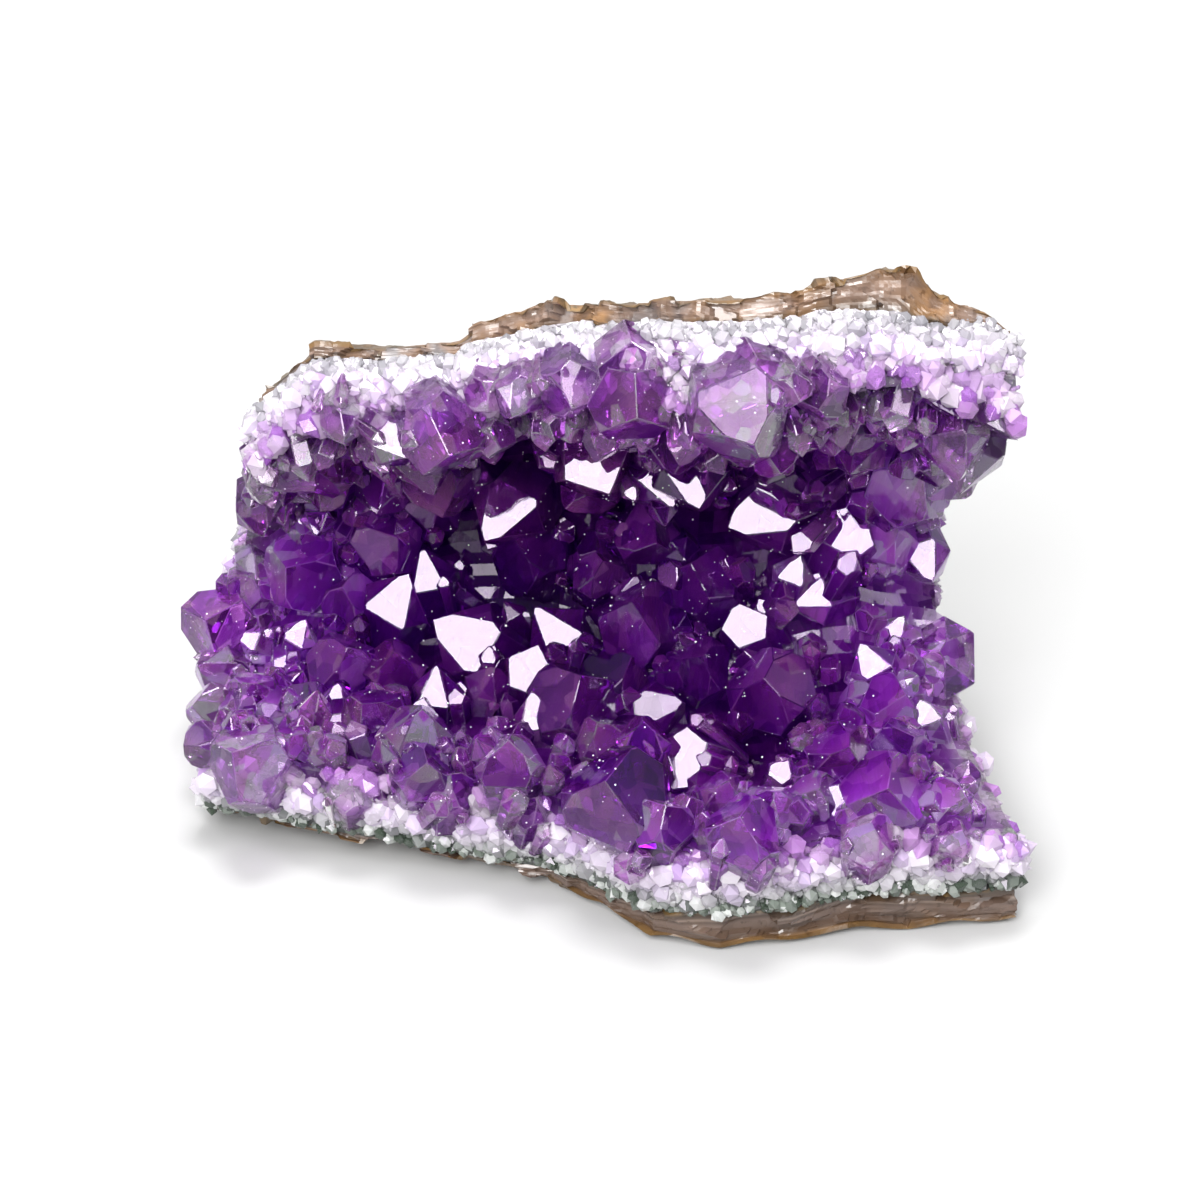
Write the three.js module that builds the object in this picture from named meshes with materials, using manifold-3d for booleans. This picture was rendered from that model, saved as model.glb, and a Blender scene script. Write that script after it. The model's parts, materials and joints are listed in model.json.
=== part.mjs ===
// An amethyst cluster: a broken piece of a geode wall that stands on its lower edge, with its hollow to the
// viewer. From the outside in it is a rind of banded agate, a layer of white quartz, and a crust of amethyst
// points.
// Millimetres, +Z up, +Y away from the viewer. The origin is under the middle of the piece, on the floor.
import * as THREE from "three";
import { ConvexGeometry } from "three/addons/geometries/ConvexGeometry.js";
import { mergeVertices } from "three/addons/utils/BufferGeometryUtils.js";
import Module from "manifold-3d";

const wasm = await Module();
wasm.setup();

// Driving dimensions
const WALL_LOW = 17.4; // rind, quartz and the slab that the amethyst points grow from, at the lower edge
const WALL_TOP = 14.6; // and at the upper edge
const QUARTZ_LOW = 7.5;
const QUARTZ_TOP = 4.6;
const GAP = 0.35; // between two layers
const LEFT_DEPTH = 0.86; // depth of the section at the left end, as a share of that at the right end
const LEAN = 0.29; // how far the open face leans back for each millimetre of height
const FACE_CLEARANCE = 2; // points that overhang the quartz stay this far in front of it
const FINEST_DETAIL = 0.15; // edges shorter than this are closed up
const SLAB_DEPTH = 2.6; // how deep a point's root goes below the slab's surface
const RHOMB_ANGLE = THREE.MathUtils.degToRad(51.8); // from a crystal's axis to a pyramid face's normal
const SIX_FACED = 5.8; // points of a smaller radius end in three faces
const PRISM_TAPER = THREE.MathUtils.degToRad(4);
const HEXAGON_FLAT = Math.cos(Math.PI / 6); // from a hexagon's middle to its side, as a share of its radius
const UNEVEN_PRISM = [0.88, 1.1]; // how far each prism face may lie from its regular place, as a factor
const UNEVEN_HEAD = [0.8, 1.2]; // the same for how far a pyramid face is set back

// Thickness of the rind at places along the wall, from its left end, 0, to its right end, 1
const RIND_LOW = [[0, 1.8], [0.12, 2.2], [0.36, 2.3], [0.49, 3.6], [0.57, 5.6], [0.7, 6.4], [1, 6.6]];
const RIND_TOP = [
  [0, 1.8], [0.26, 2.2], [0.32, 3.4], [0.38, 3.8], [0.43, 2.6], [0.6, 3], [0.74, 3.2], [0.8, 5], [0.86, 6],
  [0.92, 2.8], [1, 1.2],
];

// The viewpoint of the photograph, which is 1200 pixels wide and high
const PICTURE_PIXELS = 1200;
const PICTURE_WIDTH = 171.6; // what it spans at the piece's middle
const EYE_DISTANCE = 600;
const EYE_ELEVATION = THREE.MathUtils.degToRad(30);
const LOOKED_AT = new THREE.Vector3(0, 30, 41);
const LIGHT_ELEVATION = THREE.MathUtils.degToRad(37);
const LIGHT_AZIMUTH = THREE.MathUtils.degToRad(-18);

const RIGHT = new THREE.Vector3(1, 0, 0);
const TO_EYE = new THREE.Vector3(0, -Math.cos(EYE_ELEVATION), Math.sin(EYE_ELEVATION));
const PICTURE_UP = new THREE.Vector3().crossVectors(TO_EYE, RIGHT);
const EYE = LOOKED_AT.clone().addScaledVector(TO_EYE, EYE_DISTANCE);
const TO_LIGHT = new THREE.Vector3(
  Math.sin(LIGHT_AZIMUTH) * Math.cos(LIGHT_ELEVATION),
  -Math.cos(LIGHT_AZIMUTH) * Math.cos(LIGHT_ELEVATION),
  Math.sin(LIGHT_ELEVATION),
);
const NEAREST = 0.7 * EYE_DISTANCE; // the piece lies between these distances from the eye
const FARTHEST = 1.3 * EYE_DISTANCE;
const HALVINGS = 40;
const MIRRORING = TO_EYE.clone().add(TO_LIGHT).normalize(); // a face with this normal shows the light

// Pixels of the photograph along the rind's lower front edge, with the edge's height above the floor
const LOWER_EDGE = [
  [205, 812, 4], [320, 838, 3], [400, 850, 2.5], [480, 868, 1.5], [545, 881, 1], [600, 907, 0.4],
  [650, 940, 0], [720, 950, 0], [790, 944, 0], [860, 932, 0], [940, 928, 0], [1016, 922, 0],
];
// and along its upper front edge
const UPPER_EDGE = [
  [262, 398], [290, 368], [318, 346], [380, 347], [455, 339], [475, 322], [545, 300], [600, 304],
  [660, 299], [740, 297], [800, 291], [845, 275], [880, 266], [908, 265], [945, 298], [985, 310],
  [1014, 330],
];

// The wall's section, from the lower front edge round the back to the upper front edge.
// Each point is [share of the height, depth behind the line between the two edges].
const OUTSIDE = [
  [0, 0], [0, 18], [0, 36], [0.02, 49], [0.13, 57], [0.33, 57], [0.57, 49], [0.79, 33], [0.92, 14], [1, 0],
];
const INSIDE = [
  [0.178, -4], [0.178, 9], [0.188, 22], [0.24, 31], [0.33, 35.5], [0.445, 35], [0.564, 29.6], [0.683, 20],
  [0.782, 7.5], [0.852, -6],
];
const EDGE_REACH = 12; // behind the lower edge, the wall comes down to the floor over this depth
const FLOOR_ZONE = 0.6; // the outer side is made level where it is lower than this
const FLOOR_SHARE = 0.32; // and only in this first share of the section
const END_INSET = 9; // how far the right end is hollowed between the upper and the lower edge
const STATIONS = 13; // sections along the wall
const SECTION_STEPS = 12; // points along a section

// Random numbers from 0 to 1 that are the same on every run
function seeded(seed) {
  let state = seed;
  return () => {
    state = (Math.imul(state, 1664525) + 1013904223) >>> 0;
    return state / 4294967296;
  };
}

const between = (random, low, high) => low + (high - low) * random();

function sight(pixelX, pixelY) {
  const perPixel = PICTURE_WIDTH / PICTURE_PIXELS;
  const seen = LOOKED_AT.clone()
    .addScaledVector(RIGHT, (pixelX - PICTURE_PIXELS / 2) * perPixel)
    .addScaledVector(PICTURE_UP, (PICTURE_PIXELS / 2 - pixelY) * perPixel);
  return new THREE.Ray(EYE.clone(), seen.sub(EYE).normalize());
}

function pixelOf(point) {
  const offset = point.clone().sub(EYE);
  const scale = EYE_DISTANCE / -offset.dot(TO_EYE) / (PICTURE_WIDTH / PICTURE_PIXELS);
  const middle = PICTURE_PIXELS / 2;
  return [middle + offset.dot(RIGHT) * scale, middle - offset.dot(PICTURE_UP) * scale];
}

// Value of a list of points at x, straight between the points and level past its ends
function along(points, x, axis) {
  const after = points.findIndex((point) => point.x > x);
  if (after === 0) return points[0][axis];
  if (after < 0) return points.at(-1)[axis];
  const [a, b] = [points[after - 1], points[after]];
  return THREE.MathUtils.mapLinear(x, a.x, b.x, a[axis], b[axis]);
}

const lowerEdge = LOWER_EDGE.map(([x, y, height]) => {
  const floor = new THREE.Plane(new THREE.Vector3(0, 0, 1), -height);
  return sight(x, y).intersectPlane(floor, new THREE.Vector3());
});

// Where a line of sight meets the leaning face that the wall is broken off at
function onFace(pixelX, pixelY) {
  const ray = sight(pixelX, pixelY);
  let [near, far] = [NEAREST, FARTHEST];
  const point = new THREE.Vector3();
  for (let step = 0; step < HALVINGS; step++) {
    const middle = (near + far) / 2;
    ray.at(middle, point);
    if (point.y < along(lowerEdge, point.x, "y") + LEAN * point.z) near = middle;
    else far = middle;
  }
  return point;
}

const upperEdge = UPPER_EDGE.map(([x, y]) => onFace(x, y));

function sectionCurve(points) {
  return new THREE.SplineCurve(points.map(([height, depth]) => new THREE.Vector2(height, depth)));
}

const outside = sectionCurve(OUTSIDE);
const inside = sectionCurve(INSIDE);

// A point of the wall: share along it from left to right, share round the section, and depth into it as a
// share of the wall. Past the ends it carries on straight.
function wallPoint(t, s, depth) {
  const lowX = THREE.MathUtils.lerp(lowerEdge[0].x, lowerEdge.at(-1).x, t);
  const highX = THREE.MathUtils.lerp(upperEdge[0].x, upperEdge.at(-1).x, t);
  const low = new THREE.Vector3(lowX, along(lowerEdge, lowX, "y"), along(lowerEdge, lowX, "z"));
  const high = new THREE.Vector3(highX, along(upperEdge, highX, "y"), along(upperEdge, highX, "z"));
  const section = outside.getPoint(s).lerp(inside.getPoint(s), depth);
  const point = low.clone().lerp(high, section.x);
  point.x -= END_INSET * Math.sin(Math.PI * s) * Math.max(t, 0) ** 3;
  point.y += section.y * THREE.MathUtils.lerp(LEFT_DEPTH, 1, t);
  const behindEdge = THREE.MathUtils.clamp(section.y / EDGE_REACH, 0, 1);
  point.z -= low.z * (1 - section.x) * behindEdge;
  return point;
}

// Value of a list of [place, value] pairs at a place
function listed(pairs, place) {
  return along(pairs.map(([x, value]) => ({ x, value })), place, "value");
}

// How deep in the wall two layers meet, as a share of the wall
function rindShare(t, s) {
  return THREE.MathUtils.lerp(listed(RIND_LOW, t) / WALL_LOW, listed(RIND_TOP, t) / WALL_TOP, s);
}

function quartzShare(t, s) {
  return rindShare(t, s) + THREE.MathUtils.lerp(QUARTZ_LOW / WALL_LOW, QUARTZ_TOP / WALL_TOP, s);
}

const gapShare = GAP / WALL_TOP;

// A closed body through rings of points, one ring for each station, with flat ends. Its quads are split so
// that the inner side of one layer runs level with the outer side of the next.
function loft(rings) {
  const count = rings[0].length;
  const positions = rings.flat().flatMap((point) => point.toArray());
  const indices = [];
  for (let i = 0; i + 1 < rings.length; i++) {
    for (let j = 0; j < count; j++) {
      const [a, b] = [i * count + j, i * count + ((j + 1) % count)];
      if (j < SECTION_STEPS) indices.push(a, a + count, b, b, a + count, b + count);
      else indices.push(a, a + count, b + count, a, b + count, b);
    }
  }
  const flat = (ring) => ring.map((point) => new THREE.Vector2(point.y, point.z));
  const last = (rings.length - 1) * count;
  for (const [a, b, c] of THREE.ShapeUtils.triangulateShape(flat(rings[0]), [])) indices.push(a, b, c);
  for (const [a, b, c] of THREE.ShapeUtils.triangulateShape(flat(rings.at(-1)), [])) {
    indices.push(last + c, last + b, last + a);
  }
  const geometry = new THREE.BufferGeometry();
  geometry.setAttribute("position", new THREE.Float32BufferAttribute(positions, 3));
  geometry.setIndex(indices);
  return solidOf(geometry);
}

function solidOf(geometry) {
  const bare = geometry.clone();
  bare.deleteAttribute("normal");
  bare.deleteAttribute("uv");
  const merged = mergeVertices(bare, 1e-4);
  let made = new wasm.Manifold(
    new wasm.Mesh({
      numProp: 3,
      vertProperties: new Float32Array(merged.attributes.position.array),
      triVerts: new Uint32Array(merged.index.array),
    }),
  );
  if (made.volume() < 0) {
    const turned = merged.index.array.slice();
    for (let i = 0; i < turned.length; i += 3) [turned[i], turned[i + 1]] = [turned[i + 1], turned[i]];
    merged.setIndex(Array.from(turned));
    made = solidOf(merged);
  }
  return made;
}

function geometryOf(solid) {
  const mesh = solid.getMesh();
  const geometry = new THREE.BufferGeometry();
  geometry.setAttribute("position", new THREE.BufferAttribute(new Float32Array(mesh.vertProperties), 3));
  geometry.setIndex(new THREE.BufferAttribute(new Uint32Array(mesh.triVerts), 1));
  geometry.computeVertexNormals();
  return geometry;
}

function union(solids) {
  let layer = solids;
  while (layer.length > 1) {
    const next = [];
    for (let i = 0; i < layer.length; i += 2) {
      next.push(i + 1 < layer.length ? layer[i].add(layer[i + 1]) : layer[i]);
    }
    layer = next;
  }
  return layer[0];
}

function largestBody(solid) {
  const bodies = solid.simplify(FINEST_DETAIL).decompose();
  return bodies.reduce((best, body) => (body.volume() > best.volume() ? body : best));
}

const FACE_MIDDLE = [-0.03, 0.03]; // how far a layer's broken face bends at its middle, in shares of the wall

// The rings of a layer of the wall between two depths, roughened where it shows
function layerRings(outerDepth, innerDepth, seed, roughOut, roughFace) {
  const random = seeded(seed);
  const jitter = (point, size) => {
    point.x += between(random, -size, size);
    point.y += between(random, -size, size);
    point.z += between(random, -size, size);
    return point;
  };
  const rings = [];
  for (let i = 0; i < STATIONS; i++) {
    const t = i / (STATIONS - 1);
    const atEnd = i === 0 || i === STATIONS - 1;
    const ring = [];
    for (let j = 0; j < SECTION_STEPS; j++) {
      const s = j / (SECTION_STEPS - 1);
      const point = wallPoint(t, s, outerDepth(t, s));
      const onFloor = roughOut > 0 && s < FLOOR_SHARE && point.z < FLOOR_ZONE;
      const atFace = j === 0 || j === SECTION_STEPS - 1;
      if (onFloor && !atFace) {
        point.z = 0;
        point.x += atEnd ? between(random, -1, 1) : 0;
      } else jitter(point, atFace ? Math.min(roughFace, roughOut) : roughOut);
      point.z = Math.max(point.z, 0);
      ring.push(point);
    }
    const face = (s) => {
      const middle = (outerDepth(t, s) + innerDepth(t, s)) / 2 + between(random, ...FACE_MIDDLE);
      ring.push(jitter(wallPoint(t, s, middle), roughFace));
    };
    face(1);
    for (let j = SECTION_STEPS - 1; j >= 0; j--) {
      const s = j / (SECTION_STEPS - 1);
      ring.push(wallPoint(t, s, innerDepth(t, s)));
    }
    face(0);
    rings.push(ring);
  }
  return rings;
}

const OVERHANG_REACH = 60; // points may overhang the broken face this far
const OVERHANG_RISE = 14;
const OVERHANG_FOOT = 2; // and keep this far above the lower edge there

// All that lies on the hollow's side of a depth in the wall, and in front of the face by the clearance
function hollowSide(depth, clearance) {
  const forward = new THREE.Vector3(0, -clearance, 0);
  const above = new THREE.Vector3(0, -OVERHANG_REACH, OVERHANG_RISE);
  const below = new THREE.Vector3(0, -OVERHANG_REACH, OVERHANG_FOOT);
  const rings = [];
  for (let i = -2; i < STATIONS + 2; i++) {
    const t = i / (STATIONS - 1);
    const ring = [];
    for (let j = 0; j < SECTION_STEPS; j++) {
      const s = j / (SECTION_STEPS - 1);
      ring.push(wallPoint(t, s, depth(t, s)));
    }
    const [low, high] = [ring[0], ring.at(-1)];
    const faceTop = wallPoint(t, 1, 0).add(forward);
    ring.push(high.clone().add(forward), faceTop, faceTop.clone().add(above));
    const faceFoot = wallPoint(t, 0, 0).add(forward);
    ring.push(faceFoot.clone().add(below), faceFoot.setZ(faceFoot.z + OVERHANG_FOOT));
    ring.push(low.clone().add(forward));
    rings.push(ring);
  }
  return loft(rings);
}

// The surface that the points stand on: the slab's inner side and the inner part of its two broken faces,
// which reach to these depths. It carries on past the wall's ends by a few stations.
const FACE_DEPTHS = [0.45, 0.7];
const PAST_ENDS = 3;
const skin = [];
for (const depth of FACE_DEPTHS) skin.push([0, depth]);
for (let j = 0; j < SECTION_STEPS; j++) skin.push([j / (SECTION_STEPS - 1), 1]);
for (const depth of FACE_DEPTHS.toReversed()) skin.push([1, depth]);

function groundMesh() {
  const rows = [];
  for (let i = -PAST_ENDS; i < STATIONS + PAST_ENDS; i++) {
    rows.push(skin.map(([s, depth]) => wallPoint(i / (STATIONS - 1), s, depth)));
  }
  const indices = [];
  const count = skin.length;
  for (let i = 0; i + 1 < rows.length; i++) {
    for (let j = 0; j + 1 < count; j++) {
      const a = i * count + j;
      indices.push(a, a + 1, a + count, a + 1, a + count + 1, a + count);
    }
  }
  const geometry = new THREE.BufferGeometry();
  const positions = rows.flat().flatMap((point) => point.toArray());
  geometry.setAttribute("position", new THREE.Float32BufferAttribute(positions, 3));
  geometry.setIndex(indices);
  return new THREE.Mesh(geometry, new THREE.MeshBasicMaterial({ side: THREE.DoubleSide }));
}

const ground = groundMesh();
ground.updateMatrixWorld();
const caster = new THREE.Raycaster();

function groundAt(pixelX, pixelY) {
  const ray = sight(pixelX, pixelY);
  caster.set(ray.origin, ray.direction);
  return caster.intersectObject(ground)[0];
}

// The axis of a point that leans right and up in the picture by these slopes, from pointing at the viewer
function leaning(right, up) {
  return TO_EYE.clone().addScaledVector(RIGHT, right).addScaledVector(PICTURE_UP, up).normalize();
}

// The axis of a point with one pyramid face turned to mirror the light. The tip lies off that face at this
// angle.
function mirroringAxis(degrees) {
  const side = new THREE.Vector3().crossVectors(PICTURE_UP, MIRRORING).normalize();
  const over = new THREE.Vector3().crossVectors(MIRRORING, side);
  const angle = THREE.MathUtils.degToRad(degrees);
  return MIRRORING.clone()
    .multiplyScalar(Math.cos(RHOMB_ANGLE))
    .addScaledVector(side, Math.cos(angle) * Math.sin(RHOMB_ANGLE))
    .addScaledVector(over, Math.sin(angle) * Math.sin(RHOMB_ANGLE));
}

// A quartz crystal: a six-sided prism from its root, ended by a pyramid of six faces.
// Every other pyramid face is set back by the share minor of the radius. turnedTo is where one face looks.
function crystal({ root, axis, radius, length, minor, turnedTo, random }) {
  const across = turnedTo.clone().addScaledVector(axis, -turnedTo.dot(axis)).normalize();
  const beside = new THREE.Vector3().crossVectors(axis, across);
  const tip = root.clone().addScaledVector(axis, length);
  const planes = [new THREE.Plane().setFromNormalAndCoplanarPoint(axis.clone().negate(), root)];
  for (let i = 0; i < 6; i++) {
    const angle = (i * Math.PI) / 3;
    const out = across.clone().multiplyScalar(Math.cos(angle)).addScaledVector(beside, Math.sin(angle));
    const size = radius * HEXAGON_FLAT * between(random, ...UNEVEN_PRISM);
    const setBack = radius * (i % 2 ? minor : 0) * between(random, ...UNEVEN_HEAD);
    const prism = out.clone().addScaledVector(axis, -Math.tan(PRISM_TAPER)).normalize();
    const neck = tip.clone().addScaledVector(axis, -radius).addScaledVector(out, size);
    planes.push(new THREE.Plane().setFromNormalAndCoplanarPoint(prism, neck));
    if (i % 2 && radius < SIX_FACED) continue;
    const face = out.multiplyScalar(Math.sin(RHOMB_ANGLE)).addScaledVector(axis, Math.cos(RHOMB_ANGLE));
    const faceTip = tip.clone().addScaledVector(face, setBack);
    planes.push(new THREE.Plane().setFromNormalAndCoplanarPoint(face, faceTip));
  }
  return solidOf(new ConvexGeometry(corners(planes)));
}

// The corners of the convex body that lies behind all of the planes
function corners(planes) {
  const found = [];
  for (let i = 0; i < planes.length; i++) {
    for (let j = i + 1; j < planes.length; j++) {
      for (let k = j + 1; k < planes.length; k++) {
        const [a, b, c] = [planes[i], planes[j], planes[k]];
        const cross = new THREE.Vector3().crossVectors(b.normal, c.normal);
        const scale = a.normal.dot(cross);
        if (Math.abs(scale) < 1e-6) continue;
        const point = cross.multiplyScalar(-a.constant);
        point.addScaledVector(new THREE.Vector3().crossVectors(c.normal, a.normal), -b.constant);
        point.addScaledVector(new THREE.Vector3().crossVectors(a.normal, b.normal), -c.constant);
        point.divideScalar(scale);
        const behindAll = planes.every((plane) => plane.distanceToPoint(point) < 1e-4);
        if (behindAll && !found.some((other) => other.distanceTo(point) < 1e-3)) found.push(point);
      }
    }
  }
  return found;
}

// Amethyst points that show in the photograph. Each is the pixel of the head's middle, the radius in
// millimetres, the slopes by which the point leans right and up in the picture, and how far every other
// pyramid face is set back.
const LEANING_POINTS = [
  // upper edge, left to right
  [342, 405, 3.1, 0.1, -1.2, 0.1], [323, 468, 5, -0.1, -0.3, 0.15], [446, 446, 5.4, 0.2, -0.5, 0.3],
  [488, 404, 3, 0, -0.8, 0.2], [515, 408, 3.4, -0.2, -1, 0.1], [572, 399, 4.4, 0, -0.7, 0.2],
  [634, 375, 4.2, 0.2, -0.7, 0.3], [636, 412, 5, 0.05, -0.35, 0.4], [748, 432, 6.4, 0.2, -0.6, 0.2],
  [773, 399, 4.6, 0.3, -0.7, 0.3], [798, 442, 4.6, 0.05, -0.8, 0.1], [820, 403, 3.4, -0.1, -0.6, 0.2],
  [912, 428, 3.6, 0, -0.4, 0.2], [873, 428, 3.4, 0.2, -0.5, 0.1], [954, 445, 3.2, 0.8, -0.3, 0.2],
  // the dark hollow
  [436, 498, 4.2, 0.2, 0.3, 0.1], [394, 540, 5, 0.3, 0.1, 0.3], [522, 545, 5.6, -0.4, 0.3, 0.2],
  [653, 540, 4.4, 0.2, -0.2, 0.2], [601, 566, 4, 0.1, 0.3, 0.2], [697, 572, 4.8, -0.4, 0.5, 0.3],
  [917, 480, 6, 0.2, 0.2, 0.3], [895, 535, 4, 0.2, 0.3, 0.1], [344, 592, 4, -0.1, 0.3, 0.2],
  // left side
  [212, 622, 5.2, -0.25, 0.1, 0.5], [294, 570, 6, -0.3, 0.1, 0.2], [236, 580, 3.4, -0.8, 0.5, 0.2],
  [206, 668, 3.4, -0.7, 0.2, 0.1], [200, 708, 3.4, -0.7, 0.1, 0.2], [247, 690, 4, -0.3, 0.5, 0.2],
  [192, 745, 3, -0.9, 0, 0.2],
  // middle, lower half
  [368, 712, 5, -0.3, 0.5, 0.2], [420, 722, 5, 0.2, 0.9, 0.1], [345, 655, 4.6, 0.2, 0.5, 0.2],
  [395, 660, 4.2, 0, 0.6, 0.2], [493, 676, 3.4, 0.2, 0.9, 0.1], [578, 688, 6, 0.15, 0.65, 0.3],
  [636, 612, 6, -0.2, 0.5, 0.3], [627, 664, 4.6, 0.3, 0.5, 0.2], [701, 662, 4.4, 0.1, 0.4, 0.2],
  [672, 705, 4, 0.9, 0.3, 0.1], [768, 685, 6, -0.2, 0.3, 0.2], [908, 742, 4.2, 0.4, 0.4, 0.2],
  [845, 752, 4.6, 0.2, 0.3, 0.2], [600, 730, 3.6, -0.2, 0.7, 0.2],
  // lower edge, left to right
  [351, 785, 3, 0, 0.7, 0.2], [425, 768, 4, 0.2, 0.4, 0.2], [448, 808, 3.6, 0.1, 0.8, 0.2],
  [510, 752, 4.6, -0.1, 0.9, 0.2], [534, 804, 2.8, 0.2, 0.8, 0.1], [664, 815, 4.2, 0.1, 0.7, 0.2],
  [727, 788, 3.6, 0.1, 0.6, 0.1], [741, 825, 4.8, -0.1, 0.5, 0.3], [771, 800, 4, 0.2, 0.7, 0.1],
  [817, 792, 3.4, 0.1, 0.3, 0.2], [886, 792, 5.8, 0, 0.2, 0.3], [870, 829, 3.8, 0, 0.6, 0.2],
  [958, 802, 3.8, 0.6, 0.4, 0.2], [958, 834, 2.8, 0.4, 0.5, 0.2], [612, 790, 7.2, -0.25, 0.35, 0.3],
  [240, 758, 5.6, -0.3, 0.3, 0.3], [898, 700, 4.2, 0.5, 0.4, 0.3],
];

// Points that mirror the light in the photograph: the pixel of the bright face's middle, the radius in
// millimetres, the angle in degrees at which the tip lies off that face in the picture, anticlockwise from
// the right, and how far every other pyramid face is set back.
const MIRRORING_POINTS = [
  [394, 443, 3.4, -40, 0.1], [476, 477, 2.8, -150, 0.1], [507, 508, 5.8, -120, 0.1],
  [317, 520, 2.4, -90, 0.1], [594, 458, 6, -65, 0.45], [660, 482, 4.4, -60, 0.05],
  [692, 478, 4.8, -75, 0.1], [722, 481, 2.6, -30, 0.1], [766, 467, 2.8, 150, 0.1],
  [763, 513, 5.4, 205, 0.15], [803, 492, 3.4, -140, 0.1], [845, 535, 5, 60, 0.6],
  [925, 560, 3.4, -70, 0.1], [520, 420, 2.8, -20, 0.1], [232, 628, 3.2, -110, 0.1],
  [394, 604, 5, 60, 0.1], [429, 576, 4, 100, 0.05], [472, 642, 6.2, 150, 0.15],
  [556, 632, 4.6, 130, 0.05], [530, 672, 4.2, 70, 0.3], [537, 715, 3.4, 100, 0.1],
  [252, 640, 2.4, 160, 0.1], [298, 635, 2.6, 60, 0.1], [284, 668, 2.2, -70, 0.1],
  [309, 738, 4.8, -80, 0.1], [262, 752, 2.6, 150, 0.2], [336, 702, 2.8, 80, 0.1],
  [436, 690, 3.6, 85, 0.05], [745, 627, 3.8, 110, 0.5], [686, 760, 5.2, 165, 0.6],
  [812, 598, 3.4, 200, 0.05], [838, 800, 3.2, 170, 0.2], [872, 664, 3.4, 120, 0.1],
  [926, 716, 2.6, 110, 0.2], [896, 630, 2.4, 60, 0.1], [794, 572, 2.8, 70, 0.1],
];

const FULLNESS = 1.2; // how much wider a point is than what its neighbours leave to be seen
const POINT_LENGTH = 1.6; // length of a point above the slab, in radii
const POINT_LENGTH_MORE = 1.5; // and in millimetres
const HEAD_DEPTH = 0.5; // the head's middle lies this many radii below its tip
const TIP_OFFSET = 0.45; // and this many radii from the middle of the face that mirrors the light
const SLIDES = 12;
const SLIDE_SHARE = 0.7; // each slide of the foot makes up this share of the error

// Places a point so that its head is seen at a pixel: it slides its foot over the ground until that is so
function placePoint(pixelX, pixelY, radius, axis) {
  const length = radius * POINT_LENGTH + POINT_LENGTH_MORE;
  let [footX, footY] = [pixelX, pixelY];
  let foot = null;
  for (let step = 0; step < SLIDES; step++) {
    const hit = groundAt(footX, footY);
    if (!hit) break;
    foot = hit.point;
    const head = foot.clone().addScaledVector(axis, length - HEAD_DEPTH * radius);
    const [seenX, seenY] = pixelOf(head);
    footX += (pixelX - seenX) * SLIDE_SHARE;
    footY += (pixelY - seenY) * SLIDE_SHARE;
  }
  return foot && { foot, length };
}

const ANY_SLOPE = [-3, 3];
const pointRandom = seeded(71);
const points = [];

function addPoint(foot, axis, radius, length, minor, turnedTo) {
  points.push({ foot, axis, radius, length, minor, turnedTo });
}

for (const [x, y, seenRadius, right, up, minor] of LEANING_POINTS) {
  const radius = seenRadius * FULLNESS;
  const axis = leaning(right, up);
  const placed = placePoint(x, y, radius, axis);
  const turnedTo = leaning(between(pointRandom, ...ANY_SLOPE), between(pointRandom, ...ANY_SLOPE));
  if (placed) addPoint(placed.foot, axis, radius, placed.length, minor, turnedTo);
}
for (const [x, y, seenRadius, degrees, minor] of MIRRORING_POINTS) {
  const radius = seenRadius * FULLNESS;
  const axis = mirroringAxis(degrees);
  const angle = THREE.MathUtils.degToRad(degrees);
  const pixels = (radius * TIP_OFFSET) / (PICTURE_WIDTH / PICTURE_PIXELS);
  const placed = placePoint(x + Math.cos(angle) * pixels, y - Math.sin(angle) * pixels, radius, axis);
  if (placed) addPoint(placed.foot, axis, radius, placed.length, minor, MIRRORING);
}

// Points that fill the spaces between the others, each square to the wall, give or take its tilt
const FILLER_TRIES = 300;
const FILLER_RADIUS = [4.5, 6.5];
const FILLER_TILT = [-0.4, 0.4];
const FILLER_FORWARD = [-0.6, 0.2];
const FILLER_MINOR = [0, 0.3];
const FILLER_PLACES = [0.01, 0.99]; // shares of the section
const CROWDED = 0.85; // share of two points' radii that keeps their feet apart
const NEXT = 0.01; // a short step over the wall, to find which way it faces
for (let attempt = 0; attempt < FILLER_TRIES; attempt++) {
  const [t, s] = [between(pointRandom, 0, 1), between(pointRandom, ...FILLER_PLACES)];
  const foot = wallPoint(t, s, 1);
  const alongWall = wallPoint(t + NEXT, s, 1).sub(foot);
  const roundWall = wallPoint(t, s + NEXT, 1).sub(foot);
  const axis = new THREE.Vector3().crossVectors(alongWall, roundWall).normalize();
  if (axis.dot(wallPoint(t, s, 0).sub(foot)) > 0) axis.negate();
  axis.x += between(pointRandom, ...FILLER_TILT);
  axis.y += between(pointRandom, ...FILLER_FORWARD);
  axis.z += between(pointRandom, ...FILLER_TILT);
  axis.normalize();
  const radius = between(pointRandom, ...FILLER_RADIUS);
  const crowded = points.some((other) => other.foot.distanceTo(foot) < CROWDED * (other.radius + radius));
  if (crowded) continue;
  addPoint(foot, axis, radius, radius * POINT_LENGTH, between(pointRandom, ...FILLER_MINOR), RIGHT);
}

function amethystPoints() {
  const random = seeded(5);
  return points.map(({ foot, axis, radius, length, minor, turnedTo }) => {
    const root = foot.clone().addScaledVector(axis, -SLAB_DEPTH);
    return crystal({ root, axis, radius, length: length + SLAB_DEPTH, minor, turnedTo, random });
  });
}

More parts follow.
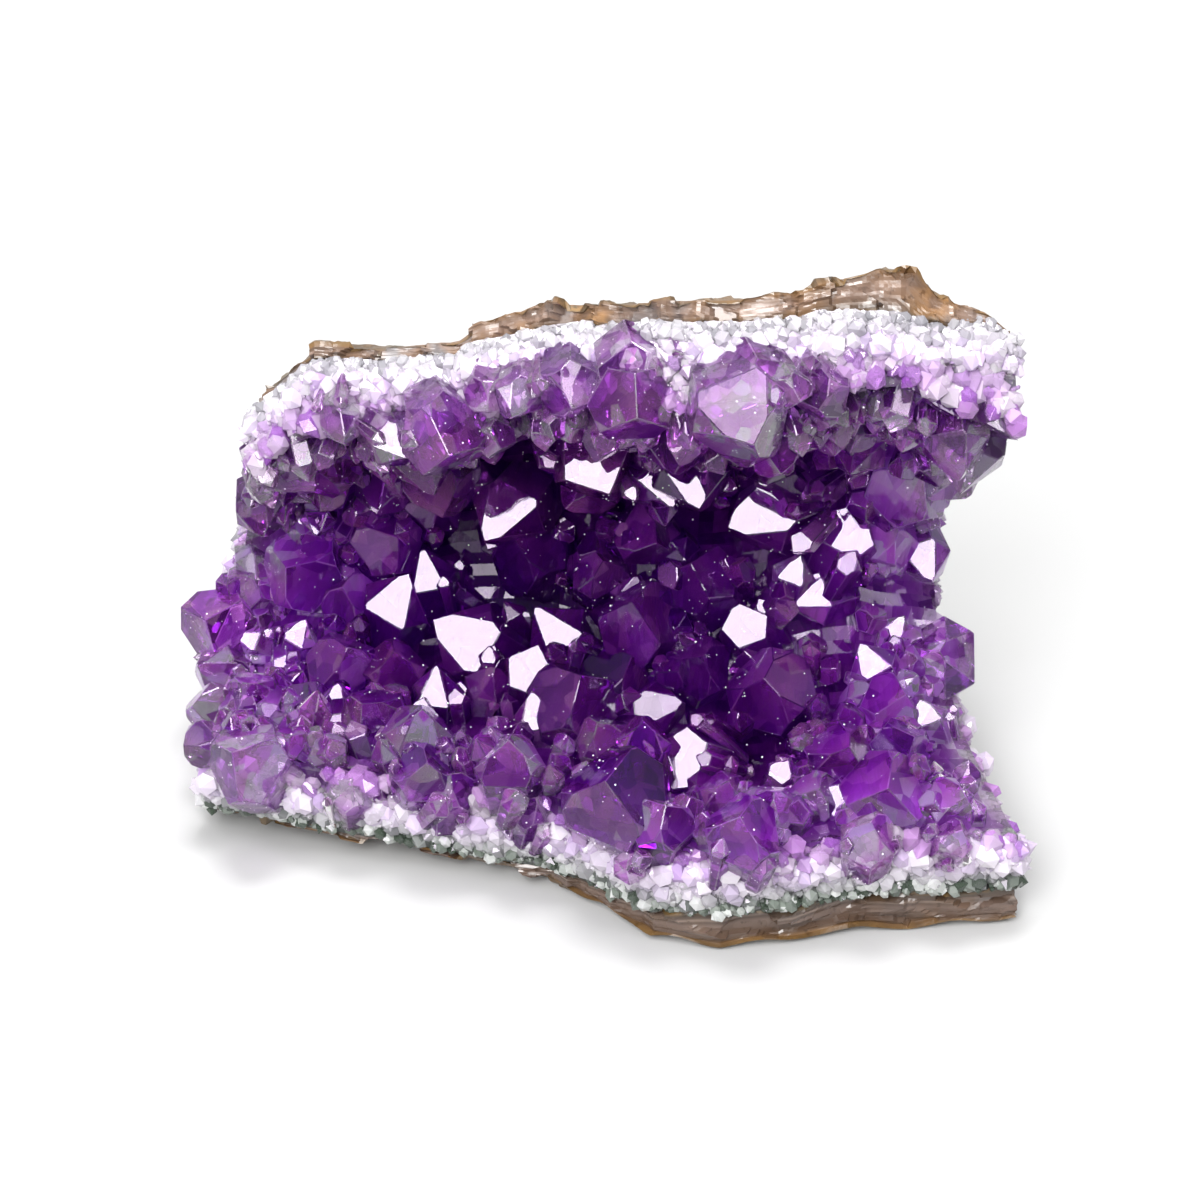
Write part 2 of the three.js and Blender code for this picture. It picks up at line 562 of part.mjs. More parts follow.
// Small white quartz points on the two broken faces
const QUARTZ_POINTS = 8;
const QUARTZ_RADIUS = [0.9, 1.6];
const QUARTZ_MARGIN = 0.05; // they keep this share of the wall away from the layer's two sides
const QUARTZ_ROOT = 2;
const QUARTZ_SIDEWAYS = [-0.8, 0.8];
const QUARTZ_INWARD = [-0.4, 0.8]; // slope towards the hollow
const QUARTZ_PLACES = [0.02, 0.98];
const QUARTZ_MINOR = 0.1;
function quartzPoints() {
  const random = seeded(23);
  return Array.from({ length: QUARTZ_POINTS }, (_, i) => {
    const t = between(random, ...QUARTZ_PLACES);
    const [top, bottom] = [rindShare(t, i % 2) + QUARTZ_MARGIN, quartzShare(t, i % 2) - QUARTZ_MARGIN];
    const foot = wallPoint(t, i % 2, THREE.MathUtils.lerp(top, bottom, random()));
    const sideways = between(random, ...QUARTZ_SIDEWAYS);
    const axis = leaning(sideways, between(random, ...QUARTZ_INWARD) * (i % 2 ? -1 : 1));
    const radius = between(random, ...QUARTZ_RADIUS);
    const root = foot.addScaledVector(axis, -QUARTZ_ROOT);
    const length = QUARTZ_ROOT + radius * POINT_LENGTH;
    return crystal({ root, axis, radius, length, minor: QUARTZ_MINOR, turnedTo: RIGHT, random });
  });
}

const ROUGH_SKIN = 1.5; // how far a point of the rind's skin may lie from its regular place
const ROUGH_FACE = 0.8; // and of a broken face
const rind = loft(layerRings(() => 0, rindShare, 3, ROUGH_SKIN, ROUGH_FACE));
const quartzBody = loft(layerRings((t, s) => rindShare(t, s) + gapShare, quartzShare, 9, 0, ROUGH_FACE));
const quartz = largestBody(
  union([quartzBody, ...quartzPoints()])
    .intersect(hollowSide((t, s) => rindShare(t, s) + gapShare, GAP))
    .subtract(hollowSide(quartzShare, FACE_CLEARANCE - GAP)),
);
const slab = loft(layerRings((t, s) => quartzShare(t, s) + gapShare, () => 1, 15, 0, 0));
const amethyst = largestBody(
  union([slab, ...amethystPoints()])
    .intersect(hollowSide((t, s) => quartzShare(t, s) + gapShare, FACE_CLEARANCE)),
);

const material = (color, roughness) => new THREE.MeshStandardMaterial({ color, roughness, metalness: 0 });
const group = new THREE.Group();
for (const [name, solid, look] of [
  ["agate_rind", rind, material(0x8a6f5c, 0.6)],
  ["quartz_layer", quartz, material(0xd8d2da, 0.4)],
  ["amethyst_crust", amethyst, material(0x6a2fa0, 0.15)],
]) {
  const mesh = new THREE.Mesh(geometryOf(solid), look);
  mesh.name = name;
  group.add(mesh);
}

// The origin goes under the middle of the piece
const middle = new THREE.Box3().setFromObject(group).getCenter(new THREE.Vector3());
for (const mesh of group.children) mesh.geometry.translate(-middle.x, -middle.y, 0);

export default group;
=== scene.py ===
"""An amethyst cluster: a broken piece of geode wall, seen from the front with its hollow towards the camera.

The wall's surfaces are worked out in millimetres in the photograph's frame, as the solids' are, and are
moved to the row's frame, in metres, when a mesh is made.
"""

import itertools
import json
import math

import bmesh
import bpy
import numpy as np
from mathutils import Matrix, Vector
from mathutils.bvhtree import BVHTree
from mathutils.kdtree import KDTree

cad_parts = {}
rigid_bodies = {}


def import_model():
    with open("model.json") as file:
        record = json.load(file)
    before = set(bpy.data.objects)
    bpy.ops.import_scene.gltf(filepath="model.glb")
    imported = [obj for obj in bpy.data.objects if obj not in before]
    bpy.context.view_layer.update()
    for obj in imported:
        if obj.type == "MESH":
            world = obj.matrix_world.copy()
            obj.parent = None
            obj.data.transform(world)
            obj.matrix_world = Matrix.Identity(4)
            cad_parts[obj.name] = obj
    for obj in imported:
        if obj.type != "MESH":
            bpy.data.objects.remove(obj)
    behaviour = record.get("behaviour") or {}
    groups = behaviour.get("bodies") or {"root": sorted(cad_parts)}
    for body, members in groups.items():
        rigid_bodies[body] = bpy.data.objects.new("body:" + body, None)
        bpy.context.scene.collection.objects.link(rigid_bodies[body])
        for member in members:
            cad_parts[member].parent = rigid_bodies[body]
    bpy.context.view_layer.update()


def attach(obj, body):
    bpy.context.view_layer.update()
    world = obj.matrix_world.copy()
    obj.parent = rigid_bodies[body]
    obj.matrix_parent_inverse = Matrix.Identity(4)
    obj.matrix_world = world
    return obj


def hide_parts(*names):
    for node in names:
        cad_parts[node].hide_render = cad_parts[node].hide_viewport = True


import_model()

# The wall, with the values that its solids have, in millimetres
WALL_LOW = 17.4
WALL_TOP = 14.6
QUARTZ_LOW = 7.5
QUARTZ_TOP = 4.6
GAP = 0.35
LEAN = 0.29
LEFT_DEPTH = 0.86
END_INSET = 9.0
RIND_LOW = [(0, 1.8), (0.12, 2.2), (0.36, 2.3), (0.49, 3.6), (0.57, 5.6), (0.7, 6.4), (1, 6.6)]
RIND_TOP = [
    (0, 1.8), (0.26, 2.2), (0.32, 3.4), (0.38, 3.8), (0.43, 2.6), (0.6, 3), (0.74, 3.2), (0.8, 5), (0.86, 6),
    (0.92, 2.8), (1, 1.2),
]
ROW_ORIGIN = np.array([-2.141, 41.130, 0.0])  # the row's origin in the photograph's frame
MM = 0.001

# The viewpoint of the photograph
PICTURE_PIXELS = 1200
PICTURE_WIDTH = 171.6
EYE_DISTANCE = 600.0
EYE_ELEVATION = math.radians(30)
LOOKED_AT = np.array([0.0, 30.0, 41.0])
RIGHT = np.array([1.0, 0.0, 0.0])
TO_EYE = np.array([0.0, -math.cos(EYE_ELEVATION), math.sin(EYE_ELEVATION)])
PICTURE_UP = np.cross(TO_EYE, RIGHT)
EYE = LOOKED_AT + EYE_DISTANCE * TO_EYE
LIGHT_ELEVATION = math.radians(37)
LIGHT_AZIMUTH = math.radians(-18)
TO_LIGHT = np.array([
    math.sin(LIGHT_AZIMUTH) * math.cos(LIGHT_ELEVATION),
    -math.cos(LIGHT_AZIMUTH) * math.cos(LIGHT_ELEVATION),
    math.sin(LIGHT_ELEVATION),
])
MIRRORING = (TO_EYE + TO_LIGHT) / np.linalg.norm(TO_EYE + TO_LIGHT)  # a face with this normal shows the light

LOWER_EDGE = [
    (205, 812, 4), (320, 838, 3), (400, 850, 2.5), (480, 868, 1.5), (545, 881, 1), (600, 907, 0.4),
    (650, 940, 0), (720, 950, 0), (790, 944, 0), (860, 932, 0), (940, 928, 0), (1016, 922, 0),
]
UPPER_EDGE = [
    (262, 398), (290, 368), (318, 346), (380, 347), (455, 339), (475, 322), (545, 300), (600, 304),
    (660, 299), (740, 297), (800, 291), (845, 275), (880, 266), (908, 265), (945, 298), (985, 310),
    (1014, 330),
]
OUTSIDE = np.array([
    [0, 0], [0, 18], [0, 36], [0.02, 49], [0.13, 57], [0.33, 57], [0.57, 49], [0.79, 33], [0.92, 14], [1, 0],
])
INSIDE = np.array([
    [0.178, -4], [0.178, 9], [0.188, 22], [0.24, 31], [0.33, 35.5], [0.445, 35], [0.564, 29.6],
    [0.683, 20], [0.782, 7.5], [0.852, -6],
])
STATIONS = 13
SECTION_STEPS = 12
RHOMB_ANGLE = math.radians(51.8)
PRISM_TAPER = math.radians(4)
SLAB_DEPTH = 2.6
FULLNESS = 1.2
POINT_LENGTH = 1.6
POINT_LENGTH_MORE = 1.5
HEAD_DEPTH = 0.5
FILLER_TRIES = 300
FILLER_RADIUS = (4.5, 6.5)

# The outline at the piece's two ends in the photograph, as pixels down and pixels across. The small crystals
# stay inside it.
LEFT_OUTLINE = [
    (400, 262), (450, 246), (520, 238), (560, 228), (600, 195), (620, 178), (740, 182), (810, 205),
]
RIGHT_OUTLINE = [
    (330, 1016), (425, 1003), (436, 966), (500, 958), (560, 936), (640, 940), (700, 960), (740, 974),
    (800, 986), (830, 1008), (920, 1016),
]

# Amethyst points as the solids have them: the pixel of the head's middle, the radius, the slopes by which
# the point leans right and up in the picture, and how far every other pyramid face is set back.
LEANING_POINTS = [
    # upper edge, left to right
    (342, 405, 3.1, 0.1, -1.2, 0.1), (323, 468, 5, -0.1, -0.3, 0.15), (446, 446, 5.4, 0.2, -0.5, 0.3),
    (488, 404, 3, 0, -0.8, 0.2), (515, 408, 3.4, -0.2, -1, 0.1), (572, 399, 4.4, 0, -0.7, 0.2),
    (634, 375, 4.2, 0.2, -0.7, 0.3), (636, 412, 5, 0.05, -0.35, 0.4), (748, 432, 6.4, 0.2, -0.6, 0.2),
    (773, 399, 4.6, 0.3, -0.7, 0.3), (798, 442, 4.6, 0.05, -0.8, 0.1), (820, 403, 3.4, -0.1, -0.6, 0.2),
    (912, 428, 3.6, 0, -0.4, 0.2), (873, 428, 3.4, 0.2, -0.5, 0.1), (954, 445, 3.2, 0.8, -0.3, 0.2),
    # the dark hollow
    (436, 498, 4.2, 0.2, 0.3, 0.1), (394, 540, 5, 0.3, 0.1, 0.3), (522, 545, 5.6, -0.4, 0.3, 0.2),
    (653, 540, 4.4, 0.2, -0.2, 0.2), (601, 566, 4, 0.1, 0.3, 0.2), (697, 572, 4.8, -0.4, 0.5, 0.3),
    (917, 480, 6, 0.2, 0.2, 0.3), (895, 535, 4, 0.2, 0.3, 0.1), (344, 592, 4, -0.1, 0.3, 0.2),
    # left side
    (212, 622, 5.2, -0.25, 0.1, 0.5), (294, 570, 6, -0.3, 0.1, 0.2), (236, 580, 3.4, -0.8, 0.5, 0.2),
    (206, 668, 3.4, -0.7, 0.2, 0.1), (200, 708, 3.4, -0.7, 0.1, 0.2), (247, 690, 4, -0.3, 0.5, 0.2),
    (192, 745, 3, -0.9, 0, 0.2),
    # middle, lower half
    (368, 712, 5, -0.3, 0.5, 0.2), (420, 722, 5, 0.2, 0.9, 0.1), (345, 655, 4.6, 0.2, 0.5, 0.2),
    (395, 660, 4.2, 0, 0.6, 0.2), (493, 676, 3.4, 0.2, 0.9, 0.1), (578, 688, 6, 0.15, 0.65, 0.3),
    (636, 612, 6, -0.2, 0.5, 0.3), (627, 664, 4.6, 0.3, 0.5, 0.2), (701, 662, 4.4, 0.1, 0.4, 0.2),
    (672, 705, 4, 0.9, 0.3, 0.1), (768, 685, 6, -0.2, 0.3, 0.2), (908, 742, 4.2, 0.4, 0.4, 0.2),
    (845, 752, 4.6, 0.2, 0.3, 0.2), (600, 730, 3.6, -0.2, 0.7, 0.2),
    # lower edge, left to right
    (351, 785, 3, 0, 0.7, 0.2), (425, 768, 4, 0.2, 0.4, 0.2), (448, 808, 3.6, 0.1, 0.8, 0.2),
    (510, 752, 4.6, -0.1, 0.9, 0.2), (534, 804, 2.8, 0.2, 0.8, 0.1), (664, 815, 4.2, 0.1, 0.7, 0.2),
    (727, 788, 3.6, 0.1, 0.6, 0.1), (741, 825, 4.8, -0.1, 0.5, 0.3), (771, 800, 4, 0.2, 0.7, 0.1),
    (817, 792, 3.4, 0.1, 0.3, 0.2), (886, 792, 5.8, 0, 0.2, 0.3), (870, 829, 3.8, 0, 0.6, 0.2),
    (958, 802, 3.8, 0.6, 0.4, 0.2), (958, 834, 2.8, 0.4, 0.5, 0.2), (612, 790, 7.2, -0.25, 0.35, 0.3),
    (240, 758, 5.6, -0.3, 0.3, 0.3), (898, 700, 4.2, 0.5, 0.4, 0.3),
]

# Points with a face that mirrors the light: the pixel of the bright face's middle, the radius, the angle at
# which the tip lies off that face in the picture, and how far every other pyramid face is set back.
MIRRORING_POINTS = [
    (394, 443, 3.4, -40, 0.1), (476, 477, 2.8, -150, 0.1), (507, 508, 5.8, -120, 0.1),
    (317, 520, 2.4, -90, 0.1), (594, 458, 6, -65, 0.45), (660, 482, 4.4, -60, 0.05),
    (692, 478, 4.8, -75, 0.1), (722, 481, 2.6, -30, 0.1), (766, 467, 2.8, 150, 0.1),
    (763, 513, 5.4, 205, 0.15), (803, 492, 3.4, -140, 0.1), (845, 535, 5, 60, 0.6),
    (925, 560, 3.4, -70, 0.1), (520, 420, 2.8, -20, 0.1), (232, 628, 3.2, -110, 0.1),
    (394, 604, 5, 60, 0.1), (429, 576, 4, 100, 0.05), (472, 642, 6.2, 150, 0.15),
    (556, 632, 4.6, 130, 0.05), (530, 672, 4.2, 70, 0.3), (537, 715, 3.4, 100, 0.1),
    (252, 640, 2.4, 160, 0.1), (298, 635, 2.6, 60, 0.1), (284, 668, 2.2, -70, 0.1),
    (309, 738, 4.8, -80, 0.1), (262, 752, 2.6, 150, 0.2), (336, 702, 2.8, 80, 0.1),
    (436, 690, 3.6, 85, 0.05), (745, 627, 3.8, 110, 0.5), (686, 760, 5.2, 165, 0.6),
    (812, 598, 3.4, 200, 0.05), (838, 800, 3.2, 170, 0.2), (872, 664, 3.4, 120, 0.1),
    (926, 716, 2.6, 110, 0.2), (896, 630, 2.4, 60, 0.1), (794, 572, 2.8, 70, 0.1),
]


def unit(vector):
    return vector / np.linalg.norm(vector)


def lerp(a, b, share):
    return a + (b - a) * share


def smoothstep(x, low, high):
    x = np.clip((x - low) / (high - low), 0, 1)
    return x * x * (3 - 2 * x)


def sight(x, y):
    """The direction from the eye through a pixel of the photograph."""
    per_pixel = PICTURE_WIDTH / PICTURE_PIXELS
    right = (x - PICTURE_PIXELS / 2) * per_pixel
    up = (PICTURE_PIXELS / 2 - y) * per_pixel
    return unit(LOOKED_AT + right * RIGHT + up * PICTURE_UP - EYE)


def on_level(x, y, height):
    direction = sight(x, y)
    return EYE + direction * (height - EYE[2]) / direction[2]


lower_edge = np.array([on_level(x, y, height) for x, y, height in LOWER_EDGE])


def on_face(x, y):
    """Where a pixel's line of sight meets the leaning face that the wall is broken off at."""
    direction = sight(x, y)
    near, far = 0.7 * EYE_DISTANCE, 1.3 * EYE_DISTANCE
    for _ in range(40):
        middle = (near + far) / 2
        point = EYE + direction * middle
        foot = np.interp(point[0], lower_edge[:, 0], lower_edge[:, 1])
        if point[1] < foot + LEAN * point[2]:
            near = middle
        else:
            far = middle
    return point


upper_edge = np.array([on_face(x, y) for x, y in UPPER_EDGE])


def smooth_curve(points, share):
    """A Catmull-Rom curve through the points, at shares from 0 to 1 of its spans."""
    last = len(points) - 1
    place = np.clip(share, 0, 1) * last
    start = np.minimum(np.floor(place).astype(int), last)
    w = (place - start)[..., None]
    a = points[np.maximum(start - 1, 0)]
    b = points[start]
    c = points[np.minimum(start + 1, last)]
    d = points[np.minimum(start + 2, last)]
    rise_b, rise_c = (c - a) / 2, (d - b) / 2
    cubic = 2 * b - 2 * c + rise_b + rise_c
    square = 3 * c - 3 * b - 2 * rise_b - rise_c
    return cubic * w**3 + square * w**2 + rise_b * w + b


def wall_point(t, s, depth):
    """A point of the wall. t is the share from left to right, s the share round the section from the lower
    edge to the upper one, and depth the share from the outside to the inside."""
    t, s, depth = np.broadcast_arrays(np.asarray(t, float), np.asarray(s, float), np.asarray(depth, float))
    low_x = lerp(lower_edge[0, 0], lower_edge[-1, 0], t)
    high_x = lerp(upper_edge[0, 0], upper_edge[-1, 0], t)
    low = np.stack([low_x] + [np.interp(low_x, lower_edge[:, 0], lower_edge[:, k]) for k in (1, 2)], -1)
    high = np.stack([high_x] + [np.interp(high_x, upper_edge[:, 0], upper_edge[:, k]) for k in (1, 2)], -1)
    section = lerp(smooth_curve(OUTSIDE, s), smooth_curve(INSIDE, s), depth[..., None])
    height, back = section[..., 0], section[..., 1]
    point = lerp(low, high, height[..., None])
    point[..., 0] -= END_INSET * np.sin(math.pi * s) * np.maximum(t, 0) ** 3
    point[..., 1] += back * lerp(LEFT_DEPTH, 1, t)
    point[..., 2] -= low[..., 2] * (1 - height) * np.clip(back / 12, 0, 1)
    return point


def listed(pairs, place):
    places, values = zip(*pairs)
    return np.interp(place, places, values)


def rind_share(t, s):
    """How deep in the wall the rind ends, as a share of the wall."""
    return lerp(listed(RIND_LOW, t) / WALL_LOW, listed(RIND_TOP, t) / WALL_TOP, s)


def quartz_share(t, s):
    return rind_share(t, s) + lerp(QUARTZ_LOW / WALL_LOW, QUARTZ_TOP / WALL_TOP, s)


def to_row(points):
    return (np.asarray(points) - ROW_ORIGIN) * MM


def new_object(name, points, faces):
    mesh = bpy.data.meshes.new(name)
    mesh.from_pydata(to_row(points).tolist(), [], [list(map(int, face)) for face in faces])
    mesh.validate()
    piece = bpy.data.objects.new(name, mesh)
    bpy.context.scene.collection.objects.link(piece)
    return piece


def add_attribute(piece, name, values):
    layer = piece.data.attributes.new(name, "FLOAT", "POINT")
    layer.data.foreach_set("value", np.asarray(values, np.float32))


def block(top, bottom, steps):
    """The six sides of a layer of the wall between two depths, as points, quads and each point's shares along
    the wall, round the section and through the layer. steps is how many cells it has each way."""
    nt, ns, nd = steps
    shares = np.stack(np.meshgrid(np.arange(nt + 1), np.arange(ns + 1), np.arange(nd + 1), indexing="ij"), -1)
    edge = ((shares == 0) | (shares == np.array(steps))).any(-1)
    number = np.full(edge.shape, -1)
    number[edge] = np.arange(edge.sum())
    where = shares[edge] / np.array(steps)
    t, s, through = where.T
    depth = lerp(top(t, s), bottom(t, s), through)
    quads = []
    for axis in range(3):
        for end in (0, steps[axis]):
            side = np.take(number, end, axis)
            a, b, c, d = side[:-1, :-1], side[1:, :-1], side[1:, 1:], side[:-1, 1:]
            ring = [a, b, c, d] if (end == 0) == (axis == 1) else [a, d, c, b]
            quads.append(np.stack([corner.ravel() for corner in ring], -1))
    return wall_point(t, s, depth), np.concatenate(quads), where


def cells(points, spacing, seed):
    """For each point, the nearest of many random places, as that place's number and the distances to the
    nearest two."""
    random = np.random.default_rng(seed)
    low, high = points.min(0) - spacing, points.max(0) + spacing
    count = int(np.prod((high - low) / spacing)) + 8
    centres = random.uniform(low, high, (count, 3))
    tree = KDTree(count)
    for i, centre in enumerate(centres):
        tree.insert(centre, i)
    tree.balance()
    nearest = np.empty(len(points), int)
    first = np.empty(len(points))
    second = np.empty(len(points))
    for i, point in enumerate(points):
        (_, nearest[i], first[i]), (_, _, second[i]) = tree.find_n(point, 2)
    return nearest, first, second, centres


def chipped(points, spacing, tilt, seed):
    """A height over the points, in millimetres, made of flat tilted chips."""
    nearest, _, _, centres = cells(points, spacing, seed)
    random = np.random.default_rng(seed + 1)
    slopes = random.normal(0, tilt, (len(centres), 3))
    offsets = random.normal(0, spacing * tilt * 0.25, len(centres))
    return ((points - centres[nearest]) * slopes[nearest]).sum(-1) + offsets[nearest]


def scalloped(points, spacing, depth, seed):
    """A height over the points made of shallow round dents that meet in ridges, as agate breaks."""
    nearest, first, _, centres = cells(points, spacing, seed)
    sizes = np.random.default_rng(seed + 1).uniform(0.3, 1.0, len(centres))
    return depth * sizes[nearest] * np.minimum((first / spacing) ** 2, 1.5) - depth / 2


def waves(points, size, seed):
    """Smooth noise over the points from about -1 to 1, with features of that size."""
    random = np.random.default_rng(seed)
    total = np.zeros(len(points))
    for _ in range(10):
        direction = unit(random.normal(size=3)) * random.uniform(0.6, 1.6) * 2 * math.pi / size
        total += np.sin(points @ direction + random.uniform(0, 2 * math.pi))
    return total / 4


def outward(points, quads):
    """The average normal at each point."""
    a, b, c, d = (points[quads[:, k]] for k in range(4))
    normal = np.cross(c - a, d - b)
    total = np.zeros_like(points)
    for k in range(4):
        np.add.at(total, quads[:, k], normal)
    return total / np.maximum(np.linalg.norm(total, axis=1), 1e-9)[:, None]


# Cells of each layer's mesh: from left to right, round the section and from the outside to the inside
RIND_CELLS = (180, 160, 14)
BED_CELLS = (200, 60, 10)
SLAB_CELLS = (48, 48, 4)
MAX_RELIEF = 1.3  # how far the agate's relief may go from the solid's skin, in millimetres


def agate_rind():
    """Banded agate, broken in long shallow dents with ledges between its layers, and rougher on its skin."""
    points, quads, where = block(lambda t, s: 0 * t, lambda t, s: rind_share(t, s) + 0.02, RIND_CELLS)
    t, s, through = where.T
    normal = outward(points, quads)
    along = points * np.stack([lerp(0.4, 0.9, s), 1 + 0 * s, 1.2 + 0 * s], -1)
    layer = (through * LEDGES + 0.5 * waves(points, 22, 17)) % 1
    broken = scalloped(along, 6, 1.3, 3) + scalloped(along, 2.6, 0.45, 7) + 0.3 * waves(points, 16, 11)
    broken += chipped(along, 4, 0.2, 31) + 0.15 * (smoothstep(layer, 0, 0.2) - layer)
    skin = scalloped(points, 7, 1.3, 49) + scalloped(points, 3, 0.6, 53)
    skin += 0.45 * waves(points, 20, 41) + 0.25 * waves(points, 6, 43) + 0.14 * waves(points, 2.6, 47)
    outer = smoothstep(-through, -0.3, 0) * smoothstep(np.minimum(s, 1 - s), 0.005, 0.03)
    relief = lerp(broken, skin, outer)
    foot = (points[:, 2] < 0.8) & (through < 0.01)
    relief = np.where(foot | (through > 0.99), 0, np.clip(relief, -MAX_RELIEF, MAX_RELIEF))
    points = points + normal * relief[:, None]
    points[:, 2] = np.maximum(points[:, 2], 0)
    points[foot & (s > 0.01) & (s < 0.3), 2] = 0
    undercut = (1 - smoothstep(s, 0.0, 0.035)) * (1 - smoothstep(through, 0.0, 0.3))
    points[:, 2] += undercut * (0.7 + 0.5 * waves(points, 9, 13)).clip(0.1) * (points[:, 2] < 6)
    piece = new_object("banded_agate", points, quads)
    add_attribute(piece, "through", through)
    add_attribute(piece, "upper", s)
    add_attribute(piece, "skin", outer)
    return piece


LEDGES = 4
ROUND_SECTION = 150  # about how long the wall is round its section and from left to right, in millimetres
LEFT_TO_RIGHT = 118


def edge_distance(t, s):
    """About how far a point of the wall is from the nearest broken edge, in millimetres."""
    return np.minimum(ROUND_SECTION * np.minimum(s, 1 - s), LEFT_TO_RIGHT * np.minimum(t, 1 - t))


def quartz_bed():
    """The quartz under the grains and the points: white at the edges, purple under the hollow, deepening
    there as painted shade.
    """
    points, quads, where = block(rind_share, lambda t, s: quartz_share(t, s) + 0.06, BED_CELLS)
    t, s, through = where.T
    normal = outward(points, quads)
    relief = chipped(points, 1.6, 0.5, 21) * 0.8 + chipped(points, 4, 0.15, 25)
    at_edge = np.exp(-edge_distance(t, s) / 4)
    buried = (through < 0.01) | (through > 0.99)
    points = points + normal * (np.clip(relief, -1, 1) * np.where(buried, 0.2, at_edge))[:, None]
    piece = new_object("quartz_bed", points, quads)
    add_attribute(piece, "through", through)
    add_attribute(piece, "upper", s)
    add_attribute(piece, "inward", np.clip(edge_distance(t, s) / DEEP_COLOR, 0, 1))
    return piece


def hexagonal_points(name, random, feet, axes, radii, lengths, attributes):
    """Many small six-sided crystals in one mesh, each on its foot along its axis, with an uneven head.
    attributes gives each crystal's value of each attribute."""
    points, faces = [], []
    for foot, axis, radius, length in zip(feet, axes, radii, lengths):
        start = len(points)
        across = unit(np.cross(axis, [0.3, 0.9, 0.1]))
        beside = np.cross(axis, across)
        spin = random.uniform(0, math.pi)
        squash = random.uniform(0.7, 1.0)
        ring = []
        for i in range(6):
            angle = spin + i * math.pi / 3
            ring.append(radius * (math.cos(angle) * across + squash * math.sin(angle) * beside))
        shoulder = length - radius * random.uniform(0.5, 1.1)
        for out in ring:
            points.append(foot + out * 0.85)
        for out in ring:
            points.append(foot + out + axis * max(shoulder + radius * random.uniform(-0.22, 0.22), 0.1))
        points.append(
            foot + axis * length + ring[0] * random.uniform(-0.3, 0.3) + ring[1] * random.uniform(-0.3, 0.3)
        )
        faces.append([start + i for i in reversed(range(6))])
        for i in range(6):
            j = (i + 1) % 6
            faces.append([start + i, start + j, start + 6 + j, start + 6 + i])
            faces.append([start + 6 + i, start + 6 + j, start + 12])
    piece = new_object(name, np.array(points), faces)
    for key, values in attributes.items():
        add_attribute(piece, key, np.repeat(values, 13))
    return piece


def rim_places(random, count, top_depth, low_depth):
    """Places on the broken edges: above and below the hollow, and fewer on the two ends. Returns their
    points, the directions they face, their share of the way between the two depths and whether they are
    above."""
    feet, axes, shares, above = [], [], [], []
    for _ in range(count):
        t = random.uniform(0, 1)
        edge = random.random()
        if edge < 0.36:
            s, facing = 0.0, unit(np.array([0, -1.0, 0.35]))
        elif edge < 0.74:
            s, facing = 1.0, unit(np.array([0, -1.0, -0.1]))
        else:
            t = float(random.random() < 0.5)
            s, facing = random.uniform(0, 1), np.array([1.0 if t else -1.0, -0.3, 0])
        share = random.random()
        feet.append(wall_point(t, s, lerp(top_depth(t, s), low_depth(t, s), share)))
        axes.append(unit(facing + random.normal(0, 0.33, 3)))
        shares.append(share)
        above.append(float(s > 0.5))
    return np.array(feet), np.array(axes), np.array(shares), np.array(above)


def grains_from(t, s):
    """The depth that the grains start from: the rind's, and less where it thins out at the upper right."""
    thinning = 1 - 0.55 * smoothstep(t, 0.9, 0.97) * (s > 0.5)
    return rind_share(t, s) * thinning + 0.02


def quartz_grains():
    """The sugary grains on the quartz layer's broken edges."""
    random = np.random.default_rng(61)
    feet, axes, shares, above = rim_places(
        random, GRAINS, grains_from, lambda t, s: quartz_share(t, s) + 0.02 - 0.05 * s
    )
    radii = 0.4 + 1.5 * random.random(GRAINS) ** 2.2 * (0.5 + 0.5 * shares) + 0.15 * shares
    lengths = radii * random.uniform(1.2, 2.2, GRAINS) + 0.4
    looks = {"share": shares, "tone": random.random(GRAINS), "above": above}
    return hexagonal_points("quartz_grains", random, feet - axes * 0.4, axes, radii, lengths, looks)


def rim_crystals():
    """Pale crystals where the quartz turns into amethyst."""
    random = np.random.default_rng(67)
    feet, axes, shares, _ = rim_places(
        random,
        RIM_CRYSTALS,
        lambda t, s: quartz_share(t, s) - 0.1,
        lambda t, s: lerp(quartz_share(t, s), 1, 0.8),
    )
    radii = random.uniform(0.6, 1.3, RIM_CRYSTALS) + 1.1 * shares * random.random(RIM_CRYSTALS)
    radii = np.where(np.abs(axes[:, 0]) > 0.6, 0.6, 1) * radii
    lengths = radii * random.uniform(1.1, 1.8, RIM_CRYSTALS) + 1.2
    looks = {"share": shares, "tone": random.random(RIM_CRYSTALS)}
    return hexagonal_points("rim_crystals", random, feet - axes, axes, radii, lengths, looks)


GRAINS = 5400
RIM_CRYSTALS = 1300


def corners(normals, offsets):
    """The corners of the body behind all the planes normal . point = offset."""
    combos = np.array(list(itertools.combinations(range(len(normals)), 3)))
    a = normals[combos]
    usable = np.abs(np.linalg.det(a)) > 1e-6
    points = np.linalg.solve(a[usable], offsets[combos[usable]][..., None])[..., 0]
    inside = (points @ normals.T <= offsets + 1e-6).all(1)
    return points[inside]


class Seeded:
    """The same random numbers as the solids are made with."""

    def __init__(self, seed):
        self.state = seed

    def between(self, low, high):
        self.state = (self.state * 1664525 + 1013904223) % 2**32
        return low + (high - low) * self.state / 2**32


